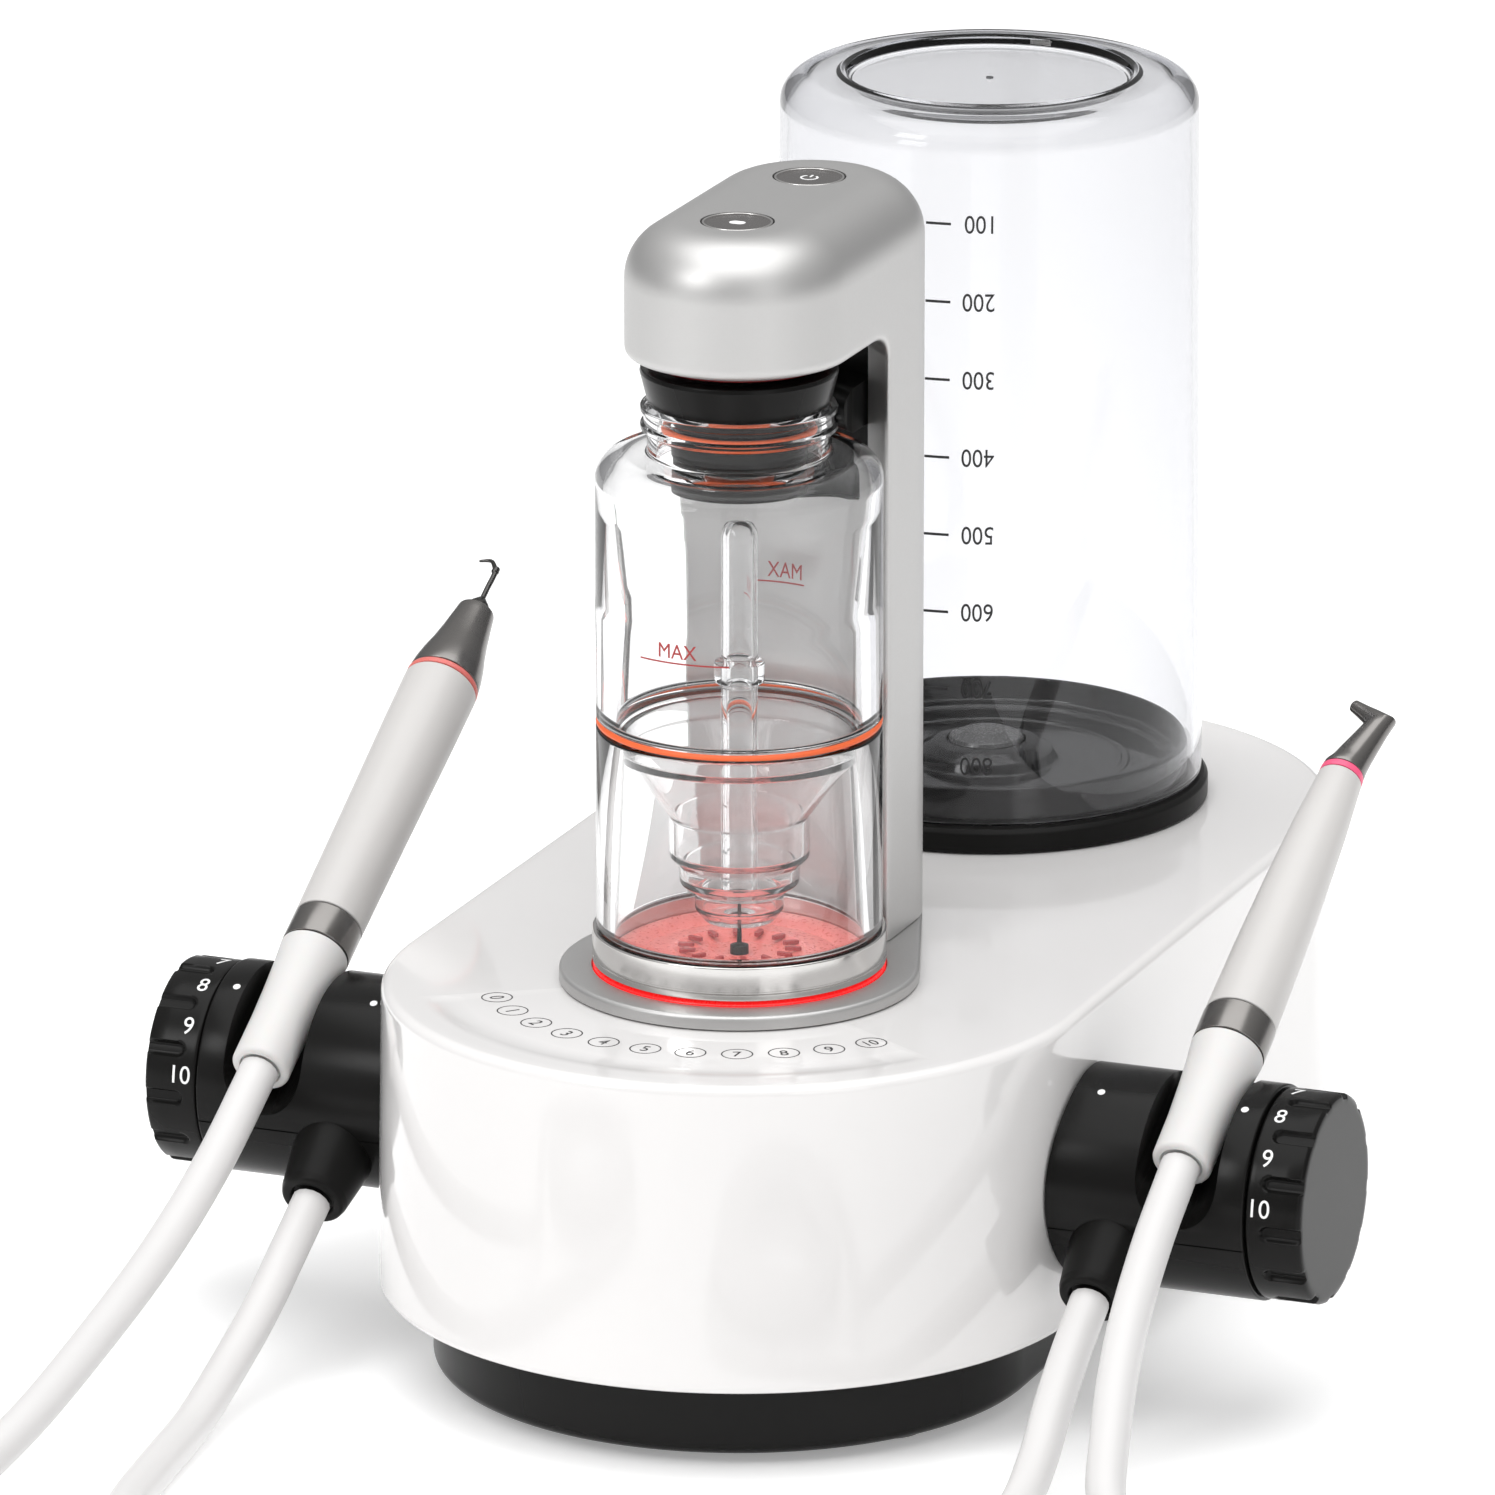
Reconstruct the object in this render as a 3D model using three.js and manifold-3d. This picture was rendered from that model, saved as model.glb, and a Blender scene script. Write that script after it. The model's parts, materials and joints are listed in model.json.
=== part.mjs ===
// Table-top dental prophylaxis unit: an ultrasonic scaler and an air-polishing handpiece on one
// base, with a powder chamber under an arm in front and an inverted water bottle behind.
// Millimetres, +Z up, -Y is the front, origin on the table under the middle of the body.
import * as THREE from 'three';
import { mergeVertices } from 'three/addons/utils/BufferGeometryUtils.js';
import Module from 'manifold-3d';

const wasm = await Module();
wasm.setup();

// ---- driving dimensions ------------------------------------------------------------------
const GAP = 0.3;
const TURN = 2 * Math.PI;
const FINE = 36;
const ROUND = 24;
const SMALL = 16;
const TINY = 10;

const AXIS_SPAN = 144;
const POWDER_Y = -AXIS_SPAN / 2;
const WATER_Y = AXIS_SPAN / 2;

const PAN_R = 64;
const PAN_BOTTOM = 2;
const BODY_BOTTOM = 19;
const BODY_TOP = 84.5;
const BODY_FOOT_R = 75.4;
const BODY_CROWN_R = 74.4;
const BODY_EDGE = 4.5;
const WALL = 3;

const PLATE_TOP = 87.7;
const PLATE_R = 37.3;
const ARM_R = 23.7;
const ARM_SPAN = 40;
const ARM_Y = POWDER_Y + ARM_SPAN / 2;
const ARM_WALL = 2.5;
const HEAD_BOTTOM = 218;
const HEAD_TOP = 246;
const HEAD_EDGE = 12;
const BAY_R = 33.5;
const BUTTON_R = 7.35;
const BUTTON_SPOTS = { mode_button: POWDER_Y - 1, power_button: POWDER_Y + 39 };

const CHAMBER_R = 29.6;
const CHAMBER_WALL = 4.5;
const CHAMBER_BOTTOM = 88.6;
const CHAMBER_SEAM = 140.3;
const CHAMBER_SHOULDER = 197;
const NECK_TOP = 207.5;
const NECK_R = 18.9;
const NECK_BORE = 16.3;
const CAP_TOP = 215.5;

const BOTTLE_FOOT_R = 46.5;
const BOTTLE_HEAD_R = 44.6;
const BOTTLE_WALL = 2.4;
const BOTTLE_BOTTOM = 90.4;
const BOTTLE_TOP = 245;
const BOTTLE_EDGE = 13;

const HOLDER_Y = -65.5;
const HOLDER_Z = 50;
const HOLDER_R = 22.4;
const HOLDER_SEAM = 116.4;
const KNOB_END = 128.5;
const KNOB_FLUTES = 13;
const INDEX_ANGLE = 64.6;
const TROUGH_X = 101.5;
const TROUGH_R = 8.8;
const REST_HEIGHT = 17.35;
const TILT = Math.PI / 6;
const GLAND_X = 86.5;
const GLAND_REACH = 35;

const CORD_D = 8.3;
const COIL_TURN_R = 45.3;
const COIL_HALF_WIDTH = 16.2;
const COIL_HEIGHT = 2 * CORD_D + 0.4;

// ---- solids ------------------------------------------------------------------------------
function outward(geometry) {
  const bare = geometry.index ? geometry.toNonIndexed() : geometry.clone();
  bare.deleteAttribute('normal');
  bare.deleteAttribute('uv');
  const welded = mergeVertices(bare, 1e-4);
  const place = welded.attributes.position;
  const [a, b, c] = [new THREE.Vector3(), new THREE.Vector3(), new THREE.Vector3()];
  const kept = [];
  let volume = 0;
  for (let i = 0; i < welded.index.count; i += 3) {
    const corner = [0, 1, 2].map((k) => welded.index.getX(i + k));
    if (new Set(corner).size < 3) continue;
    kept.push(...corner);
    [a, b, c].forEach((v, k) => v.fromBufferAttribute(place, corner[k]));
    volume += a.dot(b.cross(c));
  }
  if (volume < 0) kept.reverse();
  welded.setIndex(kept);
  return welded;
}

function toSolid(geometry) {
  const closed = outward(geometry);
  return new wasm.Manifold(new wasm.Mesh({
    numProp: 3,
    vertProperties: Float32Array.from(closed.attributes.position.array),
    triVerts: Uint32Array.from(closed.index.array),
  }));
}

function fromSolid(solid) {
  const mesh = solid.getMesh();
  const geometry = new THREE.BufferGeometry();
  geometry.setAttribute('position', new THREE.BufferAttribute(mesh.vertProperties, 3));
  geometry.setIndex(new THREE.BufferAttribute(mesh.triVerts, 1));
  return geometry;
}

function cut(geometry, ...tools) {
  return fromSolid(tools.reduce((left, tool) => left.subtract(toSolid(tool)), toSolid(geometry)));
}

function join(geometry, ...others) {
  return fromSolid(others.reduce((sum, other) => sum.add(toSolid(other)), toSolid(geometry)));
}

function common(geometry, other) {
  return fromSolid(toSolid(geometry).intersect(toSolid(other)));
}

// A quarter or half round as profile points, from angle `from` to `to` in degrees.
function arc(r, z, radius, from, to, steps = 5) {
  return Array.from({ length: steps + 1 }, (_, i) => {
    const angle = THREE.MathUtils.degToRad(from + ((to - from) * i) / steps);
    return [r + radius * Math.cos(angle), z + radius * Math.sin(angle)];
  });
}

// A profile of [radius, height] points turned about +Z.
function turned(profile, segments = ROUND, start = 0) {
  const points = profile.map(([r, z]) => new THREE.Vector2(r, z));
  return outward(new THREE.LatheGeometry(points, segments, start, TURN).rotateX(Math.PI / 2));
}

// A turned profile pulled apart along Y, so that its plan has two straight sides.
function stadium(profile, span, segments = ROUND) {
  const geometry = turned(profile, segments, Math.PI / segments);
  const place = geometry.attributes.position;
  for (let i = 0; i < place.count; i += 1) {
    const y = place.getY(i);
    if (Math.abs(y) > 1e-3) place.setY(i, y + (Math.sign(y) * span) / 2);
  }
  return geometry;
}

function rod(radius, low, high, segments = SMALL) {
  return turned([[0, low], [radius, low], [radius, high], [0, high]], segments);
}

function ring(inner, outer, low, high, segments = ROUND) {
  return turned([[inner, low], [outer, low], [outer, high], [inner, high], [inner, low]], segments);
}

function block(low, high) {
  const size = high.map((value, k) => value - low[k]);
  return new THREE.BoxGeometry(...size).translate(...low.map((value, k) => value + size[k] / 2));
}

function plate(shape, low, high, segments = 12) {
  const depth = high - low;
  const geometry = new THREE.ExtrudeGeometry(shape, {
    depth,
    bevelEnabled: false,
    curveSegments: segments,
  });
  return geometry.translate(0, 0, low);
}

// ---- base and body -----------------------------------------------------------------------
function makeBasePan(footSpots) {
  const profile = [
    [0, PAN_BOTTOM], [PAN_R - 1.5, PAN_BOTTOM], [PAN_R, PAN_BOTTOM + 1.5], [PAN_R, BODY_BOTTOM - GAP],
    [PAN_R - WALL, BODY_BOTTOM - GAP], [PAN_R - WALL, PAN_BOTTOM + WALL], [0, PAN_BOTTOM + WALL],
  ];
  const holes = footSpots.map(([x, y]) => rod(4, 0, 8, TINY).translate(x, y, 0));
  return cut(stadium(profile, AXIS_SPAN, FINE), ...holes);
}

function makeFoot([x, y]) {
  const profile = [
    [0, 0], [8, 0], [9, 1], [9, PAN_BOTTOM - GAP], [3.6, PAN_BOTTOM - GAP], [3.6, 6.5], [0, 6.5],
  ];
  return turned(profile, SMALL).translate(x, y, 0);
}

function makeBodyShell() {
  const inner = BODY_FOOT_R - WALL;
  const profile = [
    [0, BODY_TOP - WALL],
    ...arc(BODY_CROWN_R - BODY_EDGE, BODY_TOP - BODY_EDGE, BODY_EDGE - WALL, 90, 0, 2),
    [inner, BODY_BOTTOM + WALL], [PAN_R - 4, BODY_BOTTOM + WALL], [PAN_R - 4, BODY_BOTTOM],
    [BODY_FOOT_R - 1, BODY_BOTTOM], [BODY_FOOT_R, BODY_BOTTOM + 1],
    ...arc(BODY_CROWN_R - BODY_EDGE, BODY_TOP - BODY_EDGE, BODY_EDGE, 0, 90, 3),
    [0, BODY_TOP],
  ];
  const spigotHoles = [-1, 1].map((side) => rod(11.4, 50, 90)
    .rotateY((side * Math.PI) / 2).translate(0, HOLDER_Y, HOLDER_Z));
  return cut(
    stadium(profile, AXIS_SPAN, FINE),
    rod(10.5, 70, 90).translate(0, POWDER_Y, 0),
    rod(8, 70, 90).translate(0, POWDER_Y + ARM_SPAN, 0),
    rod(20, 70, 90).translate(0, WATER_Y, 0),
    makeFingerGroove(),
    ...spigotHoles,
    block([-32, 120, 30], [32, 155, 64]),
  );
}

// A shallow groove in the top, just outside the touch scale, for the finger that slides along it.
function makeFingerGroove() {
  const [inner, outer, half, depth] = [58, 66, THREE.MathUtils.degToRad(55), 0.7];
  const front = -Math.PI / 2;
  const shape = new THREE.Shape();
  shape.absarc(0, 0, outer, front - half, front + half, false);
  shape.absarc(0, 0, inner, front + half, front - half, true);
  return plate(shape, BODY_TOP - depth, BODY_TOP + 2).translate(0, POWDER_Y, 0);
}

function makeChassis() {
  return stadium([[0, 22.3], [70, 22.3], [70, 24.3], [0, 24.3]], AXIS_SPAN, ROUND);
}

function makeRearPanel() {
  return cut(
    block([-31.7, 136.7, 30.3], [31.7, 139, 63.7]),
    block([-24.3, 120, 38.7], [0.3, 150, 55.3]),
    rod(5.3, 120, 150, TINY).rotateX(-Math.PI / 2).translate(16, 0, 47),
  );
}

function makePowerInlet() {
  return cut(
    join(block([-24, 126, 39], [0, 141.5, 55]), block([-26, 139.3, 37], [2, 141.5, 57])),
    block([-21, 132, 42], [-3, 150, 52]),
  );
}

function makeAirInlet() {
  const profile = [
    [1.8, 128], [5, 128], [5, 139.3], [7, 139.3], [7, 142], [4.5, 143], [4.5, 146.5],
    [1.8, 146.5], [1.8, 128],
  ];
  return turned(profile, TINY).rotateX(-Math.PI / 2).translate(16, 0, 47);
}

function makeMainBoard() {
  const floor = 24.6;
  const posts = [[-44, -42], [44, -42], [-44, 34], [44, 34]]
    .map(([x, y]) => rod(3, floor, 67, 12).translate(x, y, 0));
  return join(block([-50, -48, 66], [50, 40, 67.6]), ...posts);
}

function makePump() {
  return turned([[0, 24.6], [14, 24.6], [14, 50], [9, 50], [9, 60], [0, 60]], SMALL)
    .translate(30, POWDER_Y - 16, 0);
}

// ---- arm ---------------------------------------------------------------------------------
function teardrop() {
  const tangent = Math.asin((PLATE_R - ARM_R) / ARM_SPAN);
  const shape = new THREE.Shape();
  shape.absarc(0, 0, PLATE_R, Math.PI - tangent, tangent + TURN, false);
  shape.absarc(0, ARM_SPAN, ARM_R, tangent, Math.PI - tangent, false);
  return shape;
}

function makeArmPlate() {
  return cut(
    plate(teardrop(), BODY_TOP + GAP, PLATE_TOP, 16).translate(0, POWDER_Y, 0),
    rod(10.2, 80, 90).translate(0, POWDER_Y, 0),
    rod(8, 80, 90).translate(0, POWDER_Y + ARM_SPAN, 0),
    ring(26.6, 30.6, 86, 90).translate(0, POWDER_Y, 0),
  );
}

function makeArmShell() {
  const edge = HEAD_EDGE - ARM_WALL;
  const skin = ARM_R - ARM_WALL;
  const outer = stadium([
    [0, PLATE_TOP + GAP], [ARM_R, PLATE_TOP + GAP],
    ...arc(ARM_R - HEAD_EDGE, HEAD_TOP - HEAD_EDGE, HEAD_EDGE, 0, 90, 5), [0, HEAD_TOP],
  ], ARM_SPAN);
  const inner = stadium([
    [0, 80], [skin, 80], ...arc(skin - edge, HEAD_TOP - HEAD_EDGE, edge, 0, 90, 4),
    [0, HEAD_TOP - ARM_WALL],
  ], ARM_SPAN);
  const bay = rod(BAY_R, 80, HEAD_BOTTOM, FINE).translate(0, -ARM_SPAN / 2, 0);
  const bayWall = rod(BAY_R + ARM_WALL, 70, HEAD_BOTTOM + ARM_WALL, FINE)
    .translate(0, -ARM_SPAN / 2, 0);
  const buttonHoles = Object.values(BUTTON_SPOTS)
    .map((y) => rod(BUTTON_R + GAP, 230, 250).translate(0, y - ARM_Y, 0));
  return cut(
    outer,
    bay,
    cut(inner, bayWall),
    rod(9, 210, 225).translate(0, -ARM_SPAN / 2, 0),
    block([-17, 5, 184], [17, 25, 214]),
    ...buttonHoles,
  ).translate(0, ARM_Y, 0);
}

// Black liner that closes the window behind the chamber's neck, with a rounded rest for it.
function makeRecessPanel() {
  const liner = ring(BAY_R + ARM_WALL + GAP, BAY_R + ARM_WALL + 2.3, 181, 216.8, FINE);
  const rest = ring(24, BAY_R + ARM_WALL + 1, 197, 207, FINE);
  const front = block([-16.6, 15, 170], [16.6, 60, 230]);
  const back = block([-20.8, 15, 170], [20.8, 60, 230]);
  return join(common(liner, back), common(rest, front)).translate(0, POWDER_Y, 0);
}

function makeHeadLight() {
  return turned([
    [0, 216.6], [19, 216.6], [19, HEAD_BOTTOM - GAP], [8.6, HEAD_BOTTOM - GAP], [8.6, 219.5],
    [0, 219.5],
  ], ROUND).translate(0, POWDER_Y, 0);
}

function makeButton(y) {
  return turned([
    [0, 238], [4, 238], [4, 243.8], [BUTTON_R, 243.8], [BUTTON_R, HEAD_TOP - 0.2],
    [BUTTON_R - 0.4, HEAD_TOP], [0, HEAD_TOP],
  ], SMALL).translate(0, y, 0);
}

// ---- powder chamber ----------------------------------------------------------------------
function makeChamberPort() {
  return turned([
    [2, 74], [9.6, 74], [9.6, 88.1], [5, 88.1], [4, 87.2], [2, 87.2], [2, 74],
  ], SMALL).translate(0, POWDER_Y, 0);
}

function makeChamberBase() {
  return turned([
    [3, CHAMBER_BOTTOM], [CHAMBER_R + 0.3, CHAMBER_BOTTOM], [CHAMBER_R + 0.8, CHAMBER_BOTTOM + 0.8],
    [CHAMBER_R + 0.8, 96], [27.4, 96], [27.4, 90.6], [3, 90.6], [3, CHAMBER_BOTTOM],
  ], FINE).translate(0, POWDER_Y, 0);
}

function makeChamberFloor() {
  return turned([
    [0, 90.9], [27.1, 90.9], [27.1, 93.2], [12, 93.2], [9, 91.9], [1.2, 91.9], [1.0, 103], [0, 103],
  ], ROUND).translate(0, POWDER_Y, 0);
}

function makeLowerChamber() {
  return ring(CHAMBER_R - CHAMBER_WALL, CHAMBER_R, 96.3, CHAMBER_SEAM - 1.2, ROUND)
    .translate(0, POWDER_Y, 0);
}

function makeFunnel() {
  const rim = CHAMBER_R - CHAMBER_WALL - GAP;
  return turned([
    [3.2, 98.6], [7, 98.6], [9.1, 101], [9.2, 104.4], [12.3, 106.4], [12.6, 110], [14.6, 112],
    [14.7, 120], [rim, 134], [rim, 139], [rim - 1.6, 139], [rim - 1.6, 135], [13.2, 120.6],
    [13.1, 112.8], [11.1, 110.8], [10.8, 107.4], [7.7, 105.4], [7.6, 101.6], [6.3, 100.2],
    [3.2, 100.2], [3.2, 98.6],
  ], ROUND).translate(0, POWDER_Y, 0);
}

function makeRiser() {
  const [outer, bore, bottom, top] = [3.8, 2.6, 104, 183];
  return turned([
    [bore, bottom], [outer, bottom], [outer, 148], [5.2, 149], [5.2, 153], [outer, 154],
    ...arc(0, top - outer, outer, 0, 90, 4), [0, top - 1.2],
    ...arc(0, top - outer, bore, 90, 0, 3), [bore, bottom],
  ], TINY).translate(0, POWDER_Y, 0);
}

function makeRingSeal(radius, z, section) {
  return turned(arc(radius, z, section, 0, 360, 4), ROUND).translate(0, POWDER_Y, 0);
}

function makeUpperChamber() {
  const inner = CHAMBER_R - CHAMBER_WALL;
  return turned([
    [inner, CHAMBER_SEAM + 1.2], [CHAMBER_R, CHAMBER_SEAM + 1.2],
    ...arc(CHAMBER_R - 10, CHAMBER_SHOULDER - 10, 10, 0, 90, 4),
    [NECK_R, CHAMBER_SHOULDER + 1], [NECK_R, 202], [20.3, 202.8], [20.3, NECK_TOP],
    [NECK_BORE, NECK_TOP], [NECK_BORE, 194], ...arc(inner - 7, 187, 7, 90, 0, 3),
    [inner, CHAMBER_SEAM + 1.2],
  ], ROUND).translate(0, POWDER_Y, 0);
}

function makePowderCap() {
  return turned([
    [0, NECK_TOP + GAP], [18.7, NECK_TOP + GAP], [20.4, CAP_TOP - 0.6], [19.8, CAP_TOP],
    [16, CAP_TOP], [15, 212], [0, 212],
  ], ROUND).translate(0, POWDER_Y, 0);
}

function makeCapPlug() {
  return turned([
    [0, 190.7], [11.6, 190.7], [12.2, 191.3], [12.4, 196.8], [13.9, 197.1], [13.9, 201.5],
    [13.2, 201.7], [13.2, 203.9], [13.9, 204.1], [13.9, NECK_TOP], [0, NECK_TOP],
  ], ROUND).translate(0, POWDER_Y, 0);
}

// ---- water bottle ------------------------------------------------------------------------
function makeBottle() {
  const [head, edge] = [BOTTLE_HEAD_R, BOTTLE_EDGE];
  const z = BOTTLE_TOP - 1 - edge;
  return turned([
    [BOTTLE_FOOT_R - BOTTLE_WALL, BOTTLE_BOTTOM], [BOTTLE_FOOT_R, BOTTLE_BOTTOM], [BOTTLE_FOOT_R, 97],
    ...arc(head - edge, z, edge, 0, 80, 5), [32.6, BOTTLE_TOP - 0.3], [31.8, BOTTLE_TOP],
    [30.6, BOTTLE_TOP - 0.6], [29.8, BOTTLE_TOP - 2.2], [0, BOTTLE_TOP - 2.2],
    [0, BOTTLE_TOP - 4.6], ...arc(head - edge, z, edge - BOTTLE_WALL, 80, 0, 4),
    [BOTTLE_FOOT_R - BOTTLE_WALL, 97], [BOTTLE_FOOT_R - BOTTLE_WALL, BOTTLE_BOTTOM],
  ], ROUND).translate(0, WATER_Y, 0);
}

function makeBottleCap() {
  return turned([
    [8.5, 91], [43.4, 91], [43.4, 97.5], [42.8, 98.2], [42, 98.2], [41.2, 93.2], [38.2, 92.6],
    [37.6, 92.2], [15, 92.2], [14.2, 94.6], [11.5, 96.2], [8.5, 96.8], [8.5, 91],
  ], ROUND).translate(0, WATER_Y, 0);
}

function makeBottleValve() {
  return turned([
    [0, 86], [4, 86], [8.2, 90], [8.2, 96.6], [7, 98], [4, 99], [0, 99.3],
  ], SMALL).translate(0, WATER_Y, 0);
}

function makeBottleSeat() {
  const [bore, rim, bottom, top] = [19.8, 47.9, BODY_TOP + GAP, 90];
  return turned([
    [bore, bottom], [rim, bottom], [rim, top - 1], [rim - 0.9, top], [bore, top], [bore, bottom],
  ], ROUND).translate(0, WATER_Y, 0);
}

// ---- handpiece holders -------------------------------------------------------------------
// A frame at a handpiece's lower end: +Z up along the handpiece, X across, Y down and forward.
function restFrame(side, slip) {
  const frame = new THREE.Matrix4().makeRotationX(-(Math.PI / 2 - TILT));
  const up = new THREE.Vector3(0, -Math.sin(TILT), Math.cos(TILT)).multiplyScalar(REST_HEIGHT);
  const along = new THREE.Vector3(0, Math.cos(TILT), Math.sin(TILT)).multiplyScalar(slip);
  const origin = new THREE.Vector3(side * TROUGH_X, HOLDER_Y, HOLDER_Z).add(up).add(along);
  return frame.setPosition(origin);
}

function glandFrame(side) {
  const frame = new THREE.Matrix4().makeRotationX(Math.PI - (Math.PI / 2 - TILT));
  return frame.setPosition(side * GLAND_X, HOLDER_Y, HOLDER_Z);
}

function acrossX(geometry, side) {
  return geometry.rotateY((side * Math.PI) / 2).translate(0, HOLDER_Y, HOLDER_Z);
}

function makeHolder(side) {
  const barrel = acrossX(turned([
    [0, 60], [11, 60], [11, 66], [HOLDER_R, 66], [HOLDER_R, HOLDER_SEAM - 0.4],
    [HOLDER_R - 0.4, HOLDER_SEAM - 0.1], [0, HOLDER_SEAM - 0.1],
  ], ROUND), side);
  const body = cut(
    stadium([[0, 10], [BODY_FOOT_R + GAP, 10], [BODY_FOOT_R + GAP, 90], [0, 90]], AXIS_SPAN, FINE),
    acrossX(rod(11.2, 55, 80), side),
  );
  const trough = join(
    rod(TROUGH_R, -60, 60, SMALL),
    block([-TROUGH_R, -40, -60], [TROUGH_R, 0, 60]),
  ).applyMatrix4(restFrame(side, 0));
  const shaftBore = acrossX(rod(4.3, 111, 130, TINY), side);
  return cut(barrel, body, trough, shaftBore);
}

// The knob turns on its own stub in the end of the holder. Its rim has a flute halfway between
// each pair of numbers, and the number 8 is at the holder's index dot.
function makeKnob(side) {
  const pitch = TURN / KNOB_FLUTES;
  const flute = THREE.MathUtils.degToRad(INDEX_ANGLE) + pitch / 2;
  const phase = side > 0 ? 1.5 * Math.PI - flute : flute - Math.PI / 2;
  const knob = turned([
    [0, 111.5], [4, 111.5], [4, HOLDER_SEAM + GAP], [HOLDER_R - 0.6, HOLDER_SEAM + GAP],
    [HOLDER_R - 0.6, KNOB_END - 1.4], [21, KNOB_END], [0, KNOB_END],
  ], 2 * KNOB_FLUTES);
  const flutes = Array.from({ length: KNOB_FLUTES }, (_, i) => rod(2, HOLDER_SEAM + 5.2, 140, 6)
    .translate(HOLDER_R + 0.3, 0, 0).rotateZ(phase + i * pitch));
  return acrossX(cut(knob, ...flutes), side);
}

function makeGland(side) {
  const cone = turned([
    [0, 12], [9.4, 12], [8.6, 23], [7.1, GLAND_REACH - 1], [6.4, GLAND_REACH], [0, GLAND_REACH],
  ], SMALL).applyMatrix4(glandFrame(side));
  return cut(cone, acrossX(rod(HOLDER_R + GAP, 60, 140, ROUND), side));
}

// ---- handpieces --------------------------------------------------------------------------
const LEFT_SLIP = -15.8;
const RIGHT_SLIP = -10.8;

function tube(points, radius, steps, halfSides = 4) {
  const shape = new THREE.Shape();
  shape.absarc(0, 0, radius, 0, TURN, false);
  const path = new THREE.CatmullRomCurve3(points.map((p) => new THREE.Vector3(...p)));
  return new THREE.ExtrudeGeometry(shape, {
    steps,
    extrudePath: path,
    curveSegments: halfSides,
    bevelEnabled: false,
  });
}

function scalerPieces() {
  return {
    boot: turned([[0, 0], [5.6, 0], [6.4, 0.9], [6.5, 18], [7.5, 33.5], [0, 33.5]], SMALL),
    ring: turned([[0, 33.8], [7.5, 33.8], [7.5, 41.8], [0, 41.8]], SMALL),
    sleeve: turned([
      [5.8, 42.1], [7.5, 42.1], [8.15, 112.8], [5.8, 112.8], [5.8, 42.1],
    ], SMALL),
    accent: turned([[0, 113.1], [8.1, 113.1], [8.1, 114.2], [0, 114.2]], SMALL),
    nose: turned([
      [0, 114.5], [8, 114.5], [7.6, 118], [6.2, 124], [4.9, 130], [4.1, 136], [0, 136],
    ], SMALL),
    tip: join(
      turned([[0, 136.3], [2.3, 136.3], [1.9, 138], [1.0, 139.4], [0, 139.4]], TINY),
      tube([[0, 0, 138.5], [0, 0, 144], [0, 0, 148.6], [-1.7, 0, 151.1], [-4.6, 0, 150.9]],
        0.6, 9, 3),
    ),
    transducer: turned([[0, 46], [5, 46], [5, 96], [3, 98], [3, 110], [0, 110]], TINY),
  };
}

// The spout leans a little off the sleeve's line and turns back sharply at its elbow.
function makeNozzle() {
  const elbow = [3.4, 0, 127.2];
  const foot = turned([[0, 112.4], [4.6, 112.4], [4.4, 114.2], [0, 114.2]], SMALL);
  const body = turned([[0, 0], [4.3, 0], [2.75, 14], [0, 14]], SMALL)
    .rotateY(THREE.MathUtils.degToRad(14)).translate(0, 0, 113.6);
  const corner = turned(arc(0, 0, 2.75, -90, 90, 6), SMALL).translate(...elbow);
  const spout = turned([[0, 0], [2.65, 0], [1.3, 7.4], [0, 7.4]], SMALL)
    .rotateY(THREE.MathUtils.degToRad(-59)).translate(...elbow);
  return join(foot, body, corner, spout);
}

function polisherPieces() {
  return {
    boot: turned([[0, 0], [5.6, 0], [6.4, 0.9], [6.6, 17], [7.8, 31.6], [0, 31.6]], SMALL),
    ring: turned([[0, 31.9], [7.8, 31.9], [7.8, 39.8], [0, 39.8]], SMALL),
    sleeve: turned([[0, 40.1], [7.7, 40.1], [6.6, 80], [4.75, 110.4], [0, 110.4]], SMALL),
    accent: turned([[0, 110.7], [4.75, 110.7], [4.75, 112.1], [0, 112.1]], SMALL),
    nozzle: makeNozzle(),
  };
}

// ---- cords -------------------------------------------------------------------------------
// Each cord leaves its gland, lies on the table, goes round its coil and comes back up to its
// handpiece. The points run that way, and the coil lies between the two stretches.
const COILS = { right: [108, -246], left: [-95, -325] };
const CORD_ROUTES = {
  right_gland: [
    [86.5, -96.1, 32.3], [87, -108.8, 25], [88, -121.7, 17.6], [89.5, -134.5, 10.6],
    [90.6, -150, 5.6], [88.6, -165, 4.3], [81, -179, 4.3], [70, -190.5, 4.3], [59, -201.5, 4.3],
    [50.5, -213, 4.3],
  ],
  right_handpiece: [
    [170, -221, 10.5], [161.5, -202.5, 7], [147, -188, 6.2], [130, -178, 9], [116.5, -165.5, 13.5],
    [109.5, -146, 23.5], [104.5, -124, 36], [102.2, -103, 48.3], [101.5, -83.9, 59.5],
  ],
  left_gland: [
    [-86.5, -96.1, 32.3], [-86.5, -108.8, 25], [-86.3, -124, 17], [-86, -142, 10],
    [-84.5, -162, 5.4], [-82, -185, 4.3], [-78, -210, 4.3], [-71, -235, 4.3], [-59, -257, 4.3],
    [-45.5, -275.5, 4.3], [-34, -296, 4.3],
  ],
  left_handpiece: [
    [-157.5, -300.5, 10.5], [-149, -282, 7], [-133, -265.5, 6.2], [-117, -250, 7.6],
    [-106.5, -230, 11.6], [-103, -209, 16.2], [-102, -173, 24.2], [-101.6, -139, 33.6],
    [-101.5, -112, 44.2], [-101.5, -88.2, 57],
  ],
};

function makeCord(name) {
  const points = CORD_ROUTES[name];
  return tube(points, CORD_D / 2, 2 * points.length);
}

function makeCoil([x, y]) {
  const [inner, outer] = [COIL_TURN_R - COIL_HALF_WIDTH, COIL_TURN_R + COIL_HALF_WIDTH];
  return ring(inner, outer, 0.1, COIL_HEIGHT, SMALL).translate(x, y, 0);
}

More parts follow.
